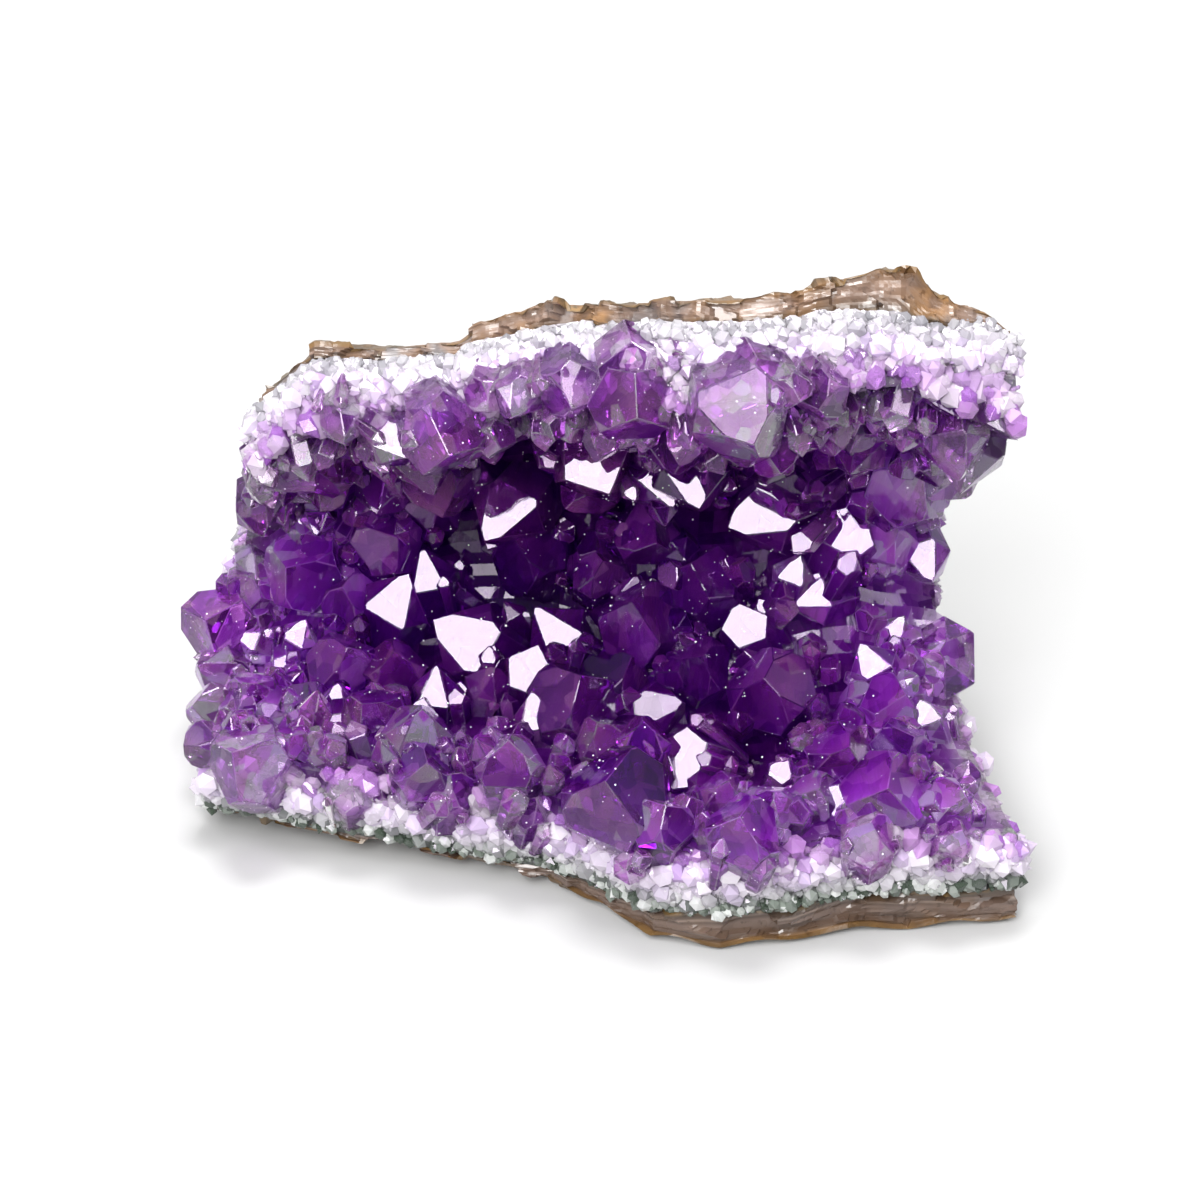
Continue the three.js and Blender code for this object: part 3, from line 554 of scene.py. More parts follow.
def crystal_corners(between, root, axis, radius, length, minor, turned_to):
    """The corners of a quartz crystal: a six-sided prism, ended by a pyramid of six faces."""
    across = unit(turned_to - (turned_to @ axis) * axis)
    beside = np.cross(axis, across)
    tip = root + axis * length
    normals, offsets = [-axis], [-axis @ root]
    for i in range(6):
        angle = i * math.pi / 3
        out = across * math.cos(angle) + beside * math.sin(angle)
        size = radius * 0.866 * between(0.88, 1.1)
        set_back = radius * (minor if i % 2 else 0) * between(0.8, 1.2)
        prism = unit(out - math.tan(PRISM_TAPER) * axis)
        normals.append(prism)
        offsets.append(prism @ (tip - axis * radius + out * size))
        face = out * math.sin(RHOMB_ANGLE) + axis * math.cos(RHOMB_ANGLE)
        normals.append(face)
        offsets.append(face @ (tip + face * set_back))
    return corners(np.array(normals), np.array(offsets))


def hull_object(points, owner):
    """A crystal's closed mesh through its corners, with narrow bevels. Its faces carry the crystal's number,
    and whether they are bevels."""
    body = bmesh.new()
    owners = body.faces.layers.int.new("owner")
    edges = body.faces.layers.float.new("edge")
    for point in to_row(points):
        body.verts.new(point)
    bmesh.ops.remove_doubles(body, verts=body.verts, dist=2e-6)
    made = bmesh.ops.convex_hull(body, input=body.verts)
    loose = [v for v in made["geom_interior"] if isinstance(v, bmesh.types.BMVert)]
    bmesh.ops.delete(body, geom=loose, context="VERTS")
    bmesh.ops.dissolve_limit(body, angle_limit=math.radians(0.5), verts=body.verts, edges=body.edges)
    bevelled = bmesh.ops.bevel(body, geom=list(body.edges), offset=BEVEL * MM, segments=1, affect="EDGES")
    bmesh.ops.recalc_face_normals(body, faces=body.faces)
    for face in body.faces:
        face[owners] = owner
    for face in bevelled["faces"]:
        face[edges] = 1.0
    mesh = bpy.data.meshes.new("point")
    body.to_mesh(mesh)
    body.free()
    return bpy.data.objects.new("point", mesh)


BEVEL = 0.13  # the width that each edge loses on its two faces, in millimetres


def ground():
    """The surface that the points stand on, as a tree that lines of sight can be cast at."""
    skin = [(0, 0.45), (0, 0.7)]
    skin += [(j / (SECTION_STEPS - 1), 1) for j in range(SECTION_STEPS)]
    skin += [(1, 0.7), (1, 0.45)]
    rows = np.array([[wall_point(i / (STATIONS - 1), s, depth) for s, depth in skin]
                     for i in range(-3, STATIONS + 3)])
    count = len(skin)
    triangles = []
    for i in range(len(rows) - 1):
        for j in range(count - 1):
            a = i * count + j
            triangles.append((a, a + 1, a + count))
            triangles.append((a + 1, a + count + 1, a + count))
    return BVHTree.FromPolygons(rows.reshape(-1, 3).tolist(), triangles)


def pixel_of(point):
    offset = point - EYE
    scale = EYE_DISTANCE / -(offset @ TO_EYE) / (PICTURE_WIDTH / PICTURE_PIXELS)
    across = PICTURE_PIXELS / 2 + offset @ RIGHT * scale
    down = PICTURE_PIXELS / 2 - offset @ PICTURE_UP * scale
    return np.array([across, down])


def leaning(right, up):
    return unit(TO_EYE + RIGHT * right + PICTURE_UP * up)


def mirroring_axis(degrees):
    side = unit(np.cross(PICTURE_UP, MIRRORING))
    over = np.cross(MIRRORING, side)
    angle = math.radians(degrees)
    tilt = side * math.cos(angle) + over * math.sin(angle)
    return MIRRORING * math.cos(RHOMB_ANGLE) + tilt * math.sin(RHOMB_ANGLE)


def place_point(tree, pixel, radius, axis):
    """Slides a point's foot over the ground until its head is seen at the pixel."""
    length = radius * POINT_LENGTH + POINT_LENGTH_MORE
    target = np.array(pixel, float)
    seen_foot, foot = target.copy(), None
    for _ in range(12):
        hit = tree.ray_cast(Vector(EYE), Vector(sight(*seen_foot)))[0]
        if hit is None:
            break
        foot = np.array(hit)
        head = foot + axis * (length - HEAD_DEPTH * radius)
        seen_foot += (target - pixel_of(head)) * 0.7
    return foot, length


def large_points():
    """The points that the solids have too, as (foot, axis, radius, length, minor, turned to)."""
    draw = Seeded(71)
    tree = ground()
    made = []
    for x, y, seen_radius, right, up, minor in LEANING_POINTS:
        radius, axis = seen_radius * FULLNESS, leaning(right, up)
        foot, length = place_point(tree, (x, y), radius, axis)
        turned_to = leaning(draw.between(-3, 3), draw.between(-3, 3))
        if foot is not None:
            made.append((foot, axis, radius, length, minor, turned_to))
    for x, y, seen_radius, degrees, minor in MIRRORING_POINTS:
        radius, axis = seen_radius * FULLNESS, mirroring_axis(degrees)
        pixels = radius * 0.45 / (PICTURE_WIDTH / PICTURE_PIXELS)
        angle = math.radians(degrees)
        head = (x + math.cos(angle) * pixels, y - math.sin(angle) * pixels)
        foot, length = place_point(tree, head, radius, axis)
        if foot is not None:
            made.append((foot, axis, radius, length, minor, MIRRORING))
    for _ in range(FILLER_TRIES):
        t, s = draw.between(0, 1), draw.between(0.01, 0.99)
        foot = wall_point(t, s, 1)
        axis = ground_axis(t, s)
        tilt = np.array([draw.between(-0.4, 0.4), draw.between(-0.6, 0.2), draw.between(-0.4, 0.4)])
        axis = unit(axis + tilt)
        radius = draw.between(*FILLER_RADIUS)
        if not any(np.linalg.norm(other[0] - foot) < 0.85 * (other[2] + radius) for other in made):
            made.append((foot, axis, radius, radius * POINT_LENGTH, draw.between(0, 0.3), RIGHT))
    return made


def ground_axis(t, s):
    """The wall's inner normal, towards the hollow."""
    foot = wall_point(t, s, 1)
    normal = unit(np.cross(wall_point(t + 0.01, s, 1) - foot, wall_point(t, s + 0.01, 1) - foot))
    return -normal if normal @ (wall_point(t, s, 0.9) - foot) > 0 else normal


def inside_outline(head, radius):
    """Whether a small crystal's head stays inside the outline at the two ends."""
    x, y = pixel_of(head)
    margin = OUTLINE_MARGIN * radius / (PICTURE_WIDTH / PICTURE_PIXELS)
    return listed(LEFT_OUTLINE, y) + margin < x < listed(RIGHT_OUTLINE, y) - margin


def companions(large, random):
    """Smaller points that lean on the large ones, nearly parallel to them, as grown together."""
    made = []
    for foot, axis, radius, length, _, turned_to in large:
        for _ in range(COMPANIONS):
            around = unit(np.cross(axis, random.normal(size=3)))
            small = radius * random.uniform(0.22, 0.48)
            own_axis = unit(axis + random.normal(0, 0.16, 3) + around * 0.12)
            own_foot = foot + around * radius * random.uniform(0.7, 1.05)
            own_length = length * random.uniform(0.45, 0.8)
            own_minor = random.uniform(0, 0.4)
            if inside_outline(own_foot + own_axis * own_length, small):
                made.append((own_foot, own_axis, small, own_length, own_minor, turned_to))
    return made


def small_points(large, random):
    """Points between the others, most near the broken edges, kept clear of the faces that mirror light."""
    mirrors = []
    for foot, axis, radius, length, _, turned_to in large:
        if turned_to is MIRRORING:
            mirrors.append((foot + axis * length * 0.7, radius))
    made = []
    for i in range(SMALL_POINTS):
        t, s = random.uniform(0.01, 0.99), random.uniform(0.02, 0.98)
        near_edge = 0.02 + abs(random.normal(0, 0.06))
        radius = random.uniform(1.8, 3.0)
        if i < 0.7 * SMALL_POINTS:
            radius = random.uniform(1.2, 2.7)
            if i % 5 == 4:
                t = near_edge if i % 2 else 1 - near_edge
            else:
                s = near_edge if i % 2 else 1 - near_edge
        foot = wall_point(t, s, 1)
        towards_eye = np.array([0, -0.3, 0.5 * (s < 0.15)])
        axis = unit(ground_axis(t, min(s, 0.98)) + random.normal(0, 0.35, 3) + towards_eye)
        length = radius * random.uniform(1.6, 2.5) + 1.0
        minor, turned_to = random.uniform(0, 0.35), random.normal(size=3)
        head = foot + axis * length
        if any(np.linalg.norm(head - place) < reach + 0.5 * radius for place, reach in mirrors):
            continue
        if inside_outline(head, radius):
            made.append((foot, axis, radius, length, minor, turned_to))
    return made


OUTLINE_MARGIN = 0.4  # how much of its radius a small crystal keeps inside the outline
COMPANIONS = 3  # for each large point
SMALL_POINTS = 520
SPECKS = 1500


def joined(piece, bodies):
    """Joins the bodies to the piece as one closed mesh."""
    others = bpy.data.collections.new("bodies")
    bpy.context.scene.collection.children.link(others)
    for body in bodies:
        others.objects.link(body)
    join = piece.modifiers.new("join", "BOOLEAN")
    join.operation = "UNION"
    join.operand_type = "COLLECTION"
    join.collection = others
    join.solver = "MANIFOLD"
    bpy.context.view_layer.update()
    done = bpy.data.meshes.new_from_object(piece.evaluated_get(bpy.context.evaluated_depsgraph_get()))
    piece.modifiers.clear()
    piece.data = done
    for body in list(others.objects):
        bpy.data.objects.remove(body)
    bpy.data.collections.remove(others)


def inward_share(points):
    """How far points of the crust are from its broken edges: from 0 there to 1 at the distance DEEP_COLOR."""
    edge, reach = [], []
    for s, scale in ((0.0, 1.0), (1.0, 0.8)):
        edge += [wall_point(t, s, lerp(quartz_share(t, s), 1, 0.3)) for t in np.linspace(0, 1, 60)]
        reach += [scale] * 60
    for t, scale in ((0.0, 1.0), (1.0, 0.75)):
        edge += [wall_point(t, s, 0.9) for s in np.linspace(0, 1, 60)]
        reach += [scale] * 60
    edge, reach = np.array(edge), np.array(reach)
    distance = np.linalg.norm(points[:, None] - edge[None], axis=-1) * reach
    return np.clip(distance.min(1) / DEEP_COLOR, 0, 1)


# The deepest colour, in the hollow, is partly painted shade.
DEEP_COLOR = 31.0  # the colour deepens over this distance from the edges, in millimetres


def amethyst():
    """The crust of points, joined with the slab they grow from."""
    slab_points, quads, _ = block(
        lambda t, s: quartz_share(t, s) + GAP / WALL_TOP, lambda t, s: 1 + 0 * t, SLAB_CELLS
    )
    piece = new_object("amethyst_points", slab_points, quads)
    if sum(p.area * (p.normal @ p.center) for p in piece.data.polygons) < 0:
        piece.data.flip_normals()
    large = large_points()
    random = np.random.default_rng(40)
    exact = Seeded(5)
    small = companions(large, random) + small_points(large, random)
    bodies = []
    for number, (foot, axis, radius, length, minor, turned_to) in enumerate(large + small):
        between = exact.between if number < len(large) else random.uniform
        root = foot - axis * SLAB_DEPTH
        shape = crystal_corners(between, root, axis, radius, length + SLAB_DEPTH, minor, turned_to)
        bodies.append(hull_object(shape, number + 1))
    joined(piece, bodies)
    for polygon in piece.data.polygons:
        polygon.use_smooth = False
    add_crystal_attributes(piece, large + small, random)
    return piece


def add_crystal_attributes(piece, crystals, random):
    """inward: how far a place is from the broken edges. rise: how far up its crystal it is. tone: the
    crystal's own random number. facet: a random number for each direction that facets have."""
    mesh = piece.data
    places = np.empty(len(mesh.vertices) * 3)
    mesh.vertices.foreach_get("co", places)
    places = places.reshape(-1, 3) / MM + ROW_ORIGIN
    add_attribute(piece, "inward", inward_share(places))
    owner = np.empty(len(mesh.polygons), np.int32)
    mesh.attributes["owner"].data.foreach_get("value", owner)
    corner_counts = np.empty(len(mesh.polygons), np.int32)
    mesh.polygons.foreach_get("loop_total", corner_counts)
    corner_owner = np.repeat(owner, corner_counts)
    corner_place = np.empty(len(mesh.loops), np.int32)
    mesh.loops.foreach_get("vertex_index", corner_place)
    feet = np.array([crystal[0] for crystal in crystals])
    axes = np.array([crystal[1] for crystal in crystals])
    lengths = np.array([crystal[3] for crystal in crystals])
    which = np.maximum(corner_owner - 1, 0)
    rise = ((places[corner_place] - feet[which]) * axes[which]).sum(-1) / lengths[which]
    rise = np.where(corner_owner > 0, np.clip(rise, 0, 1), 0)
    layer = mesh.attributes.new("rise", "FLOAT", "CORNER")
    layer.data.foreach_set("value", rise.astype(np.float32))
    tones = random.random(len(crystals) + 1)[owner]
    layer = mesh.attributes.new("tone", "FLOAT", "FACE")
    layer.data.foreach_set("value", tones.astype(np.float32))
    normals = np.empty(len(mesh.polygons) * 3)
    mesh.polygons.foreach_get("normal", normals)
    direction = np.round(normals.reshape(-1, 3) * 40).astype(int) @ np.array([1, 97, 9409])
    _, same = np.unique(direction, return_inverse=True)
    layer = mesh.attributes.new("facet", "FLOAT", "FACE")
    layer.data.foreach_set("value", random.random(same.max() + 1)[same].astype(np.float32))


def specks(crust):
    """White grains that lie on the points' faces like dust."""
    random = np.random.default_rng(83)
    mesh = crust.data
    mesh.calc_loop_triangles()
    triangles = np.empty(len(mesh.loop_triangles) * 3, int)
    mesh.loop_triangles.foreach_get("vertices", triangles)
    places = np.empty(len(mesh.vertices) * 3)
    mesh.vertices.foreach_get("co", places)
    a, b, c = (places.reshape(-1, 3) / MM + ROW_ORIGIN)[triangles.reshape(-1, 3)].transpose(1, 0, 2)
    normal = np.cross(b - a, c - a)
    area = np.linalg.norm(normal, axis=1)
    seen = np.where(normal @ TO_EYE > 0, area, 0)
    chosen = random.choice(len(area), SPECKS, p=seen / seen.sum())
    u, v = random.random((2, SPECKS))
    u, v = np.where(u + v > 1, (1 - u, 1 - v), (u, v))
    feet = a[chosen] + u[:, None] * (b - a)[chosen] + v[:, None] * (c - a)[chosen]
    axes = normal[chosen] / area[chosen][:, None]
    radii = random.uniform(0.04, 0.08, SPECKS) * random.choice([1, 1, 1, 2], SPECKS)
    return hexagonal_points("quartz_specks", random, feet - axes * 0.05, axes, radii, radii * 1.5, {})


class Nodes:
    """Short calls for building a material's node tree."""

    def __init__(self, name):
        self.material = bpy.data.materials.new(name)
        self.material.use_nodes = True
        self.tree = self.material.node_tree
        self.shader = self.tree.nodes["Principled BSDF"]
        self.output = self.tree.nodes["Material Output"]

    def add(self, kind, **settings):
        node = self.tree.nodes.new(kind)
        for key, value in settings.items():
            setattr(node, key, value)
        return node

    def link(self, source, target):
        self.tree.links.new(source, target)

    def fill(self, socket, value):
        """Gives a socket its value: a number, a colour or the output of another node."""
        if isinstance(value, tuple):
            socket.default_value = (*value, 1)
        elif isinstance(value, (int, float)):
            socket.default_value = value
        else:
            self.link(value, socket)

    def put(self, name, value):
        self.fill(self.shader.inputs[name], value)

    def attribute(self, name):
        return self.add("ShaderNodeAttribute", attribute_name=name).outputs["Fac"]

    def place(self):
        return self.add("ShaderNodeTexCoord").outputs["Object"]

    def noise(self, scale, detail=4):
        node = self.add("ShaderNodeTexNoise")
        node.inputs["Scale"].default_value = scale
        node.inputs["Detail"].default_value = detail
        node.inputs["Roughness"].default_value = 0.6
        self.link(self.place(), node.inputs["Vector"])
        return node.outputs["Fac"]

    def math(self, operation, a, b):
        node = self.add("ShaderNodeMath", operation=operation)
        self.fill(node.inputs[0], a)
        self.fill(node.inputs[1], b)
        return node.outputs[0]

    def plus(self, a, b):
        return self.math("ADD", a, b)

    def times(self, a, b):
        return self.math("MULTIPLY", a, b)

    def ramp(self, value, stops):
        """The colour for a value, from stops of (value, colour)."""
        node = self.add("ShaderNodeValToRGB")
        ramp = node.color_ramp
        while len(ramp.elements) < len(stops):
            ramp.elements.new(0.5)
        for element, (position, color) in zip(ramp.elements, stops):
            element.position = position
            element.color = (*color, 1)
        self.link(value, node.inputs["Fac"])
        return node.outputs["Color"]

    def by(self, attribute, stops):
        return self.ramp(self.attribute(attribute), stops)

    def mask(self, value, low, high, start=0.0, end=1.0):
        """A grey that goes from start, where the value is low, to end, where it is high."""
        return self.ramp(value, [(low, (start,) * 3), (high, (end,) * 3)])

    def mix(self, share, a, b, blend="MIX"):
        node = self.add("ShaderNodeMix", data_type="RGBA", blend_type=blend)
        self.fill(node.inputs[0], share)
        self.fill(node.inputs[6], a)
        self.fill(node.inputs[7], b)
        return node.outputs[2]

    def tinted(self, color, *tints):
        for tint in tints:
            color = self.mix(1.0, color, tint, "MULTIPLY")
        return color

    def bump(self, height, distance, strength=1.0):
        node = self.add("ShaderNodeBump")
        node.inputs["Distance"].default_value = distance
        node.inputs["Strength"].default_value = strength
        self.link(height, node.inputs["Height"])
        self.put("Normal", node.outputs["Normal"])


def srgb(r, g, b):
    """A screen colour, from 0 to 255, as linear light."""
    return tuple((c / 255 / 12.92) if c <= 10 else ((c / 255 + 0.055) / 1.055) ** 2.4 for c in (r, g, b))


WHITE = (1.0, 1.0, 1.0)
BLACK = (0.0, 0.0, 0.0)


def broken_agate(m):
    """Brown bands that follow the layers, rosier with amber and grey lumps above."""
    wide = m.times(m.plus(m.noise(24, 1), -0.5), 0.5)
    fine = m.times(m.plus(m.noise(120, 3), -0.5), 0.06)
    through = m.attribute("through")
    band = m.plus(m.plus(through, wide), fine)
    brown = m.ramp(band, [
        (0.0, srgb(112, 82, 48)), (0.16, srgb(78, 58, 42)), (0.3, srgb(72, 56, 46)), (0.46, srgb(86, 70, 61)),
        (0.6, srgb(94, 78, 70)), (0.7, srgb(66, 52, 44)), (0.76, srgb(112, 97, 88)), (0.82, srgb(66, 53, 45)),
        (1.0, srgb(52, 44, 36)),
    ])
    rosy = m.ramp(band, [
        (0.0, srgb(118, 86, 56)), (0.2, srgb(96, 74, 58)), (0.45, srgb(124, 102, 90)),
        (0.7, srgb(110, 88, 74)), (0.8, srgb(84, 64, 48)), (1.0, srgb(66, 52, 40)),
    ])
    lumps = m.ramp(m.noise(150, 2), [
        (0.36, srgb(98, 96, 98)), (0.46, srgb(122, 101, 88)), (0.54, srgb(98, 74, 54)),
        (0.64, srgb(142, 104, 62)),
    ])
    rosy = m.mix(m.mask(m.noise(55, 1), 0.4, 0.6, 0.15, 0.8), rosy, lumps)
    patch = m.mask(m.noise(30, 2), 0.42, 0.58)
    above = m.mask(m.attribute("upper"), 0.5, 0.98, 0.12)
    color = m.mix(m.times(above, patch), brown, rosy)
    edge = m.ramp(m.plus(through, fine), [(0.0, WHITE), (0.08, BLACK), (0.86, BLACK), (0.94, WHITE)])
    edge_color = m.ramp(m.noise(170, 3), [
        (0.4, srgb(104, 80, 46)), (0.55, srgb(62, 50, 34)), (0.7, srgb(84, 70, 48)),
    ])
    return m.mix(m.times(edge, 0.8), color, edge_color)


def agate_skin(m):
    """Brown earth with patches of grey-green."""
    earth = m.ramp(m.noise(160, 6), [
        (0.3, srgb(70, 56, 42)), (0.5, srgb(98, 80, 62)), (0.7, srgb(126, 110, 92)),
    ])
    moss = m.ramp(m.noise(240, 5), [(0.35, srgb(58, 60, 48)), (0.65, srgb(104, 106, 92))])
    return m.mix(m.mask(m.noise(45, 4), 0.48, 0.6, 0.0, 0.8), earth, moss)


def agate_material():
    m = Nodes("agate")
    skin = m.attribute("skin")
    color = m.mix(skin, broken_agate(m), agate_skin(m))
    # Darker and paler flecks over the agate.
    dark_and_pale_flecks = m.ramp(m.noise(650, 4), [
        (0.33, (0.4, 0.34, 0.28)), (0.4, WHITE), (0.7, WHITE), (0.76, (1.6, 1.6, 1.6)),
    ])
    chips = m.ramp(m.noise(190, 2), [(0.68, WHITE), (0.72, (1.7, 1.75, 1.8))])
    m.put("Base Color", m.tinted(m.mix(0.7, color, dark_and_pale_flecks, "MULTIPLY"), chips))
    rough = m.plus(m.times(m.noise(60), 0.35), m.times(skin, 0.35))
    m.put("Roughness", m.plus(rough, 0.1))
    m.put("Coat Weight", 0.25)
    m.put("Coat Roughness", 0.2)
    m.bump(m.noise(260, 3), 0.2 * MM, 0.5)
    return m.material


def quartz_bed_material():
    """White at the broken edges, grey-green next to the rind and purple under the points, deepening
    towards the hollow as painted shade.
    """
    m = Nodes("quartz_bed")
    inward = m.attribute("inward")
    white = m.ramp(m.noise(700, 3), [
        (0.3, srgb(160, 154, 162)), (0.5, srgb(222, 216, 226)), (0.7, srgb(244, 240, 248)),
    ])
    dark = m.by("through", [(0.0, srgb(62, 70, 62)), (0.3, srgb(150, 152, 150)), (0.5, WHITE)])
    edge = m.tinted(white, m.mix(m.times(m.attribute("upper"), 0.6), dark, WHITE))
    # Purple under the points, deepening towards the hollow as painted shade.
    inner = m.ramp(inward, [
        (0.0, (0.9, 0.82, 0.95)), (0.25, (0.66, 0.36, 0.84)), (0.5, (0.36, 0.1, 0.52)),
        (1.0, (0.08, 0.01, 0.15)),
    ])
    m.put("Base Color", m.mix(m.mask(inward, 0.04, 0.16), edge, inner))
    m.put("Roughness", 0.4)
    return m.material


QUARTZ_IOR = 1.544
FACET_WAVES = 180  # the scale of the shallow dents in the facets
CRACK_AND_REFLECTION_SCALE = 330  # the scale of the patches that show inside a crystal


def crystal_material(name, color, clear, density, wavy):
    """Quartz crystal: see-through, with constant absorption. wavy is how deep its facets are dented, in
    millimetres."""
    m = Nodes(name)
    m.put("Base Color", color(m))
    m.put("Roughness", 0.02)
    m.put("IOR", QUARTZ_IOR)
    m.put("Transmission Weight", clear)
    m.put("Specular IOR Level", 0.24)
    m.put("Specular Tint", (0.96, 0.84, 1.0))
    m.bump(m.noise(FACET_WAVES, 1), wavy * MM)
    volume = m.add("ShaderNodeVolumeAbsorption")
    m.fill(volume.inputs["Color"], (0.5, 0.08, 0.72))
    m.fill(volume.inputs["Density"], density)
    m.link(volume.outputs["Volume"], m.output.inputs["Volume"])
    return m.material


def cracks_and_inner_reflections(m):
    """Patches inside a crystal, different through each of its facets: flat patches, each with a random
    number, that stand partly for cracks and partly for painted inner reflections."""
    place = m.add("ShaderNodeVectorMath", operation="ADD")
    m.link(m.place(), place.inputs[0])
    m.link(m.attribute("facet"), place.inputs[1])
    patch = m.add("ShaderNodeTexVoronoi")
    patch.inputs["Scale"].default_value = CRACK_AND_REFLECTION_SCALE
    m.link(place.outputs["Vector"], patch.inputs["Vector"])
    parts = m.add("ShaderNodeSeparateColor")
    m.link(patch.outputs["Color"], parts.inputs["Color"])
    return parts.outputs["Red"]


def amethyst_color(m):
    """Nearly white at the broken edges and deep violet in the hollow, deepest there as painted shade.
    Painted shade at each crystal's foot and a painted highlight towards its tip, painted light and shade
    from facet to facet, painted highlights along the bevels, a random tone from crystal to crystal, and
    patches inside a facet that are partly cracks and partly painted inner reflections."""
    inward = m.attribute("inward")
    cloud = m.times(m.plus(m.noise(150, 1), -0.5), 0.25)
    # Pale at the broken edges and deeper violet inwards, as amethyst grows; the darkest violet, in the
    # hollow, is painted shade.
    color = m.ramp(m.plus(inward, cloud), [
        (0.0, (1.0, 0.93, 1.0)), (0.08, (0.98, 0.72, 1.0)), (0.18, (0.93, 0.4, 1.0)),
        (0.32, (0.84, 0.18, 0.98)), (0.5, (0.66, 0.08, 0.88)), (0.8, (0.36, 0.022, 0.58)),
        (1.0, (0.28, 0.016, 0.5)),
    ])
    # Painted shade at each crystal's foot, between the crystals, and a painted highlight towards its tip;
    # none at the pale broken edges.
    rise = m.by("rise", [
        (0.05, (0.3, 0.14, 0.4)), (0.4, (0.6, 0.4, 0.7)), (0.75, WHITE), (1.0, (1.3, 1.5, 1.15)),
    ])
    rise = m.mix(m.mask(inward, 0.02, 0.1), WHITE, rise)
    # Painted light and shade: facets that face the same way share a lighter or darker tint.
    facet = m.by("facet", [
        (0.0, (0.3, 0.12, 0.4)), (0.35, (0.85, 0.66, 0.9)), (0.7, (1.15, 1.2, 1.1)), (1.0, (1.7, 3.2, 1.4)),
    ])
    tone = m.by("tone", [
        (0.0, (0.55, 0.36, 0.7)), (0.5, WHITE), (0.75, (1.15, 1.3, 1.1)), (1.0, (1.35, 3.0, 1.25)),
    ])
    color = m.tinted(color, rise, facet, tone)
    # Patches inside, partly cracks and partly painted inner reflections, lighter or darker through each
    # facet.
    inside = m.ramp(cracks_and_inner_reflections(m), [
        (0.0, (0.42, 0.2, 0.52)), (0.35, (0.85, 0.6, 0.9)), (0.6, (1.2, 1.3, 1.1)), (1.0, (2.0, 4.5, 1.6)),
    ])
    color = m.mix(m.mask(inward, 0.0, 1.0, 1.0, 0.5), color, m.tinted(color, inside))
    # Painted highlight along the bevelled edges, strongest near the broken edges and faint in the hollow.
    near_edge = m.ramp(inward, [(0.1, WHITE), (0.5, (0.25,) * 3), (0.8, (0.04,) * 3)])
    bevel = m.times(m.times(m.attribute("edge"), near_edge), 0.6)
    color = m.mix(bevel, color, (0.96, 0.76, 1.0))
    return m.mix(1.0, color, WHITE, "DARKEN")


def rim_color(m):
    """Pale next to the quartz and more violet towards the hollow."""
    near = m.by("tone", [(0.0, (0.72, 0.5, 0.84)), (0.5, (0.95, 0.88, 0.98)), (1.0, (0.99, 0.97, 1.0))])
    far = m.by("tone", [(0.0, (0.42, 0.1, 0.66)), (0.5, (0.8, 0.42, 0.93)), (1.0, (0.97, 0.86, 0.99))])
    return m.mix(m.attribute("share"), near, far)


def grain_color(m):
    """White, turning violet towards the points and grey-green next to the lower rind."""
    share = m.attribute("share")
    white = m.by("tone", [(0.0, (0.54, 0.51, 0.58)), (0.4, (0.7, 0.65, 0.73)), (1.0, (0.82, 0.76, 0.85))])
    violet = m.by("tone", [(0.0, (0.6, 0.4, 0.76)), (0.5, (0.9, 0.78, 0.97)), (1.0, (0.97, 0.92, 0.99))])
    green = m.by("tone", [(0.3, srgb(84, 96, 84)), (0.6, srgb(156, 166, 156)), (1.0, (0.88, 0.9, 0.88))])
    color = m.mix(m.mask(share, 0.45, 1.0), white, violet)
    near_rind = m.mask(share, 0.18, 0.55, 1.0, 0.0)
    below = m.plus(m.times(m.attribute("above"), -0.6), 1.0)
    return m.mix(m.times(near_rind, below), color, green)


def plain_material(name, color, roughness):
    m = Nodes(name)
    m.put("Base Color", color)
    m.put("Roughness", roughness)
    return m.material


def give(piece, material):
    piece.data.materials.clear()
    piece.data.materials.append(material)
    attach(piece, "root")


# The lights, as seen from the piece: azimuth and elevation in degrees, width and height in metres, radiance
LIGHTS = {
    "key": (math.degrees(LIGHT_AZIMUTH), math.degrees(LIGHT_ELEVATION), 1.25, 1.25, 21),
    "top": (5, 62, 1.7, 1.7, 3.4),
    "back": (178, 84, 1.0, 1.0, 23),
    "right": (55, 42, 0.6, 0.6, 16),
    "left": (-75, 26, 0.5, 0.6, 11),
    "left card": (-48, 58, 0.8, 0.8, 8),
    "right card": (24, 18, 0.7, 0.6, 6),
    "low card": (-34, 10, 0.6, 0.5, 7),
}
LIGHT_DISTANCE = 2.5
LIGHT_MIDDLE = 1.1  # how bright a light's middle and its edge are, as shares of its radiance
LIGHT_EDGE = 0.5
FLOOR_GREY = 0.4


def set_stop(stop, position, color):
    stop.position = position
    stop.color = (*color, 1)


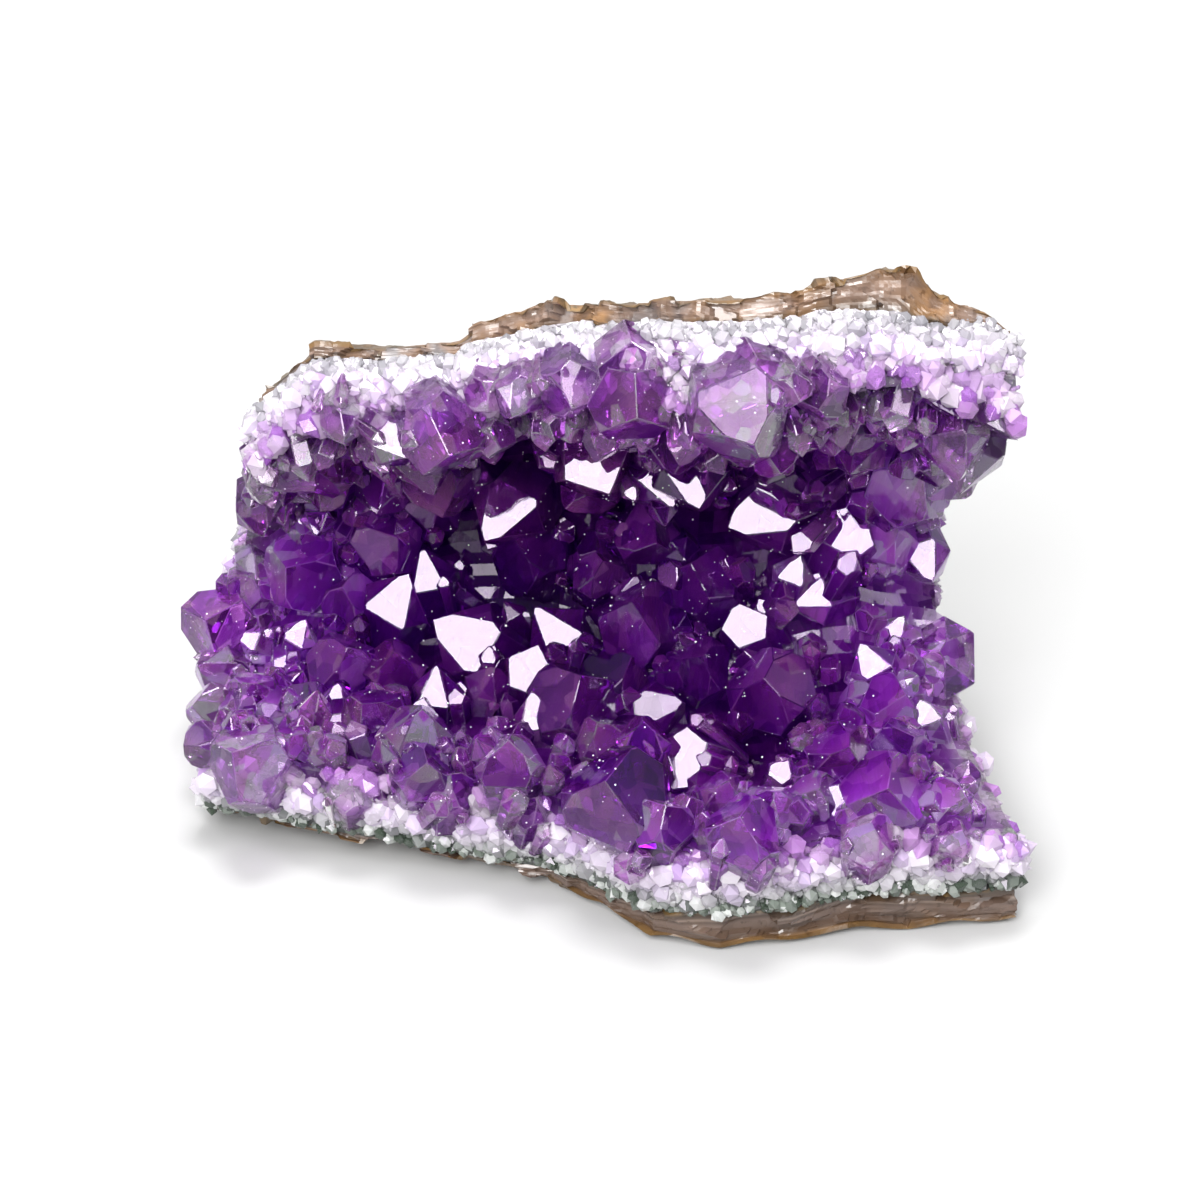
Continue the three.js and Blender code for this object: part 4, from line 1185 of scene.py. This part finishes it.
def softbox(name, azimuth, elevation, width, height, radiance):
    """A rectangle of light that faces the piece and fades towards its edge."""
    azimuth, elevation = math.radians(azimuth), math.radians(elevation)
    direction = Vector((
        math.sin(azimuth) * math.cos(elevation),
        -math.cos(azimuth) * math.cos(elevation),
        math.sin(elevation),
    ))
    lamp = bpy.data.lights.new(name, "AREA")
    lamp.shape = "RECTANGLE"
    lamp.size = width
    lamp.size_y = height
    lamp.energy = radiance * math.pi * width * height
    lamp.use_nodes = True
    tree = lamp.node_tree
    across = tree.nodes.new("ShaderNodeNewGeometry")
    from_middle = tree.nodes.new("ShaderNodeVectorMath")
    from_middle.operation = "DISTANCE"
    from_middle.inputs[1].default_value = (0.5, 0.5, 0)
    fading = tree.nodes.new("ShaderNodeValToRGB")
    set_stop(fading.color_ramp.elements[0], 0.15, (LIGHT_MIDDLE,) * 3)
    set_stop(fading.color_ramp.elements[1], 0.6, (LIGHT_EDGE,) * 3)
    tree.links.new(across.outputs["Parametric"], from_middle.inputs[0])
    tree.links.new(from_middle.outputs["Value"], fading.inputs["Fac"])
    tree.links.new(fading.outputs["Color"], tree.nodes["Emission"].inputs["Color"])
    lit = bpy.data.objects.new(name, lamp)
    bpy.context.scene.collection.objects.link(lit)
    lit.location = Vector(to_row(LOOKED_AT)) + direction * LIGHT_DISTANCE
    lit.rotation_euler = direction.to_track_quat("Z", "Y").to_euler()


def sky():
    """Soft white light from above and behind, and little from the front."""
    world = bpy.data.worlds.new("studio")
    bpy.context.scene.world = world
    world.use_nodes = True
    tree = world.node_tree
    direction = tree.nodes.new("ShaderNodeTexCoord")
    behind = tree.nodes.new("ShaderNodeVectorMath")
    behind.operation = "DOT_PRODUCT"
    behind.inputs[1].default_value = (0, 0.6, 0.8)
    brightness = tree.nodes.new("ShaderNodeValToRGB")
    set_stop(brightness.color_ramp.elements[0], 0.0, (0.08, 0.08, 0.085))
    set_stop(brightness.color_ramp.elements[1], 0.9, (0.85, 0.85, 0.85))
    tree.links.new(direction.outputs["Generated"], behind.inputs[0])
    tree.links.new(behind.outputs["Value"], brightness.inputs["Fac"])
    tree.links.new(brightness.outputs["Color"], tree.nodes["Background"].inputs["Color"])


def stage_floor():
    bpy.ops.mesh.primitive_plane_add(size=8, location=(0, 0, -0.0002))
    floor = bpy.context.object
    floor.name = "floor"
    floor.data.materials.append(plain_material("floor", (FLOOR_GREY,) * 3, 0.9))


def photograph_camera():
    data = bpy.data.cameras.new("camera")
    data.sensor_width = 36
    data.lens = 36 * EYE_DISTANCE / PICTURE_WIDTH
    camera = bpy.data.objects.new("camera", data)
    bpy.context.scene.collection.objects.link(camera)
    camera.location = to_row(EYE)
    camera.rotation_euler = Vector(TO_EYE).to_track_quat("Z", "Y").to_euler()
    bpy.context.scene.camera = camera


rind = agate_rind()
give(rind, agate_material())
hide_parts("agate_rind")

bed = quartz_bed()
give(bed, quartz_bed_material())
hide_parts("quartz_layer")

grains = quartz_grains()
give(grains, crystal_material("quartz_grain", grain_color, 0.5, 2, 0.05))

rim = rim_crystals()
give(rim, crystal_material("pale_amethyst", rim_color, 0.7, 20, 0.05))

points = amethyst()
give(points, crystal_material("amethyst", amethyst_color, 0.92, 60, 0.12))
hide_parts("amethyst_crust")

dust = specks(points)
give(dust, plain_material("quartz_dust", (0.96, 0.9, 1.0), 0.4))

sky()
stage_floor()
for light_name, light in LIGHTS.items():
    softbox(light_name, *light)
photograph_camera()

scene = bpy.context.scene
scene.view_settings.view_transform = "Standard"
scene.cycles.use_denoising = True
scene.cycles.max_bounces = 5
scene.cycles.transmission_bounces = 5
scene.cycles.glossy_bounces = 3
scene.cycles.diffuse_bounces = 2
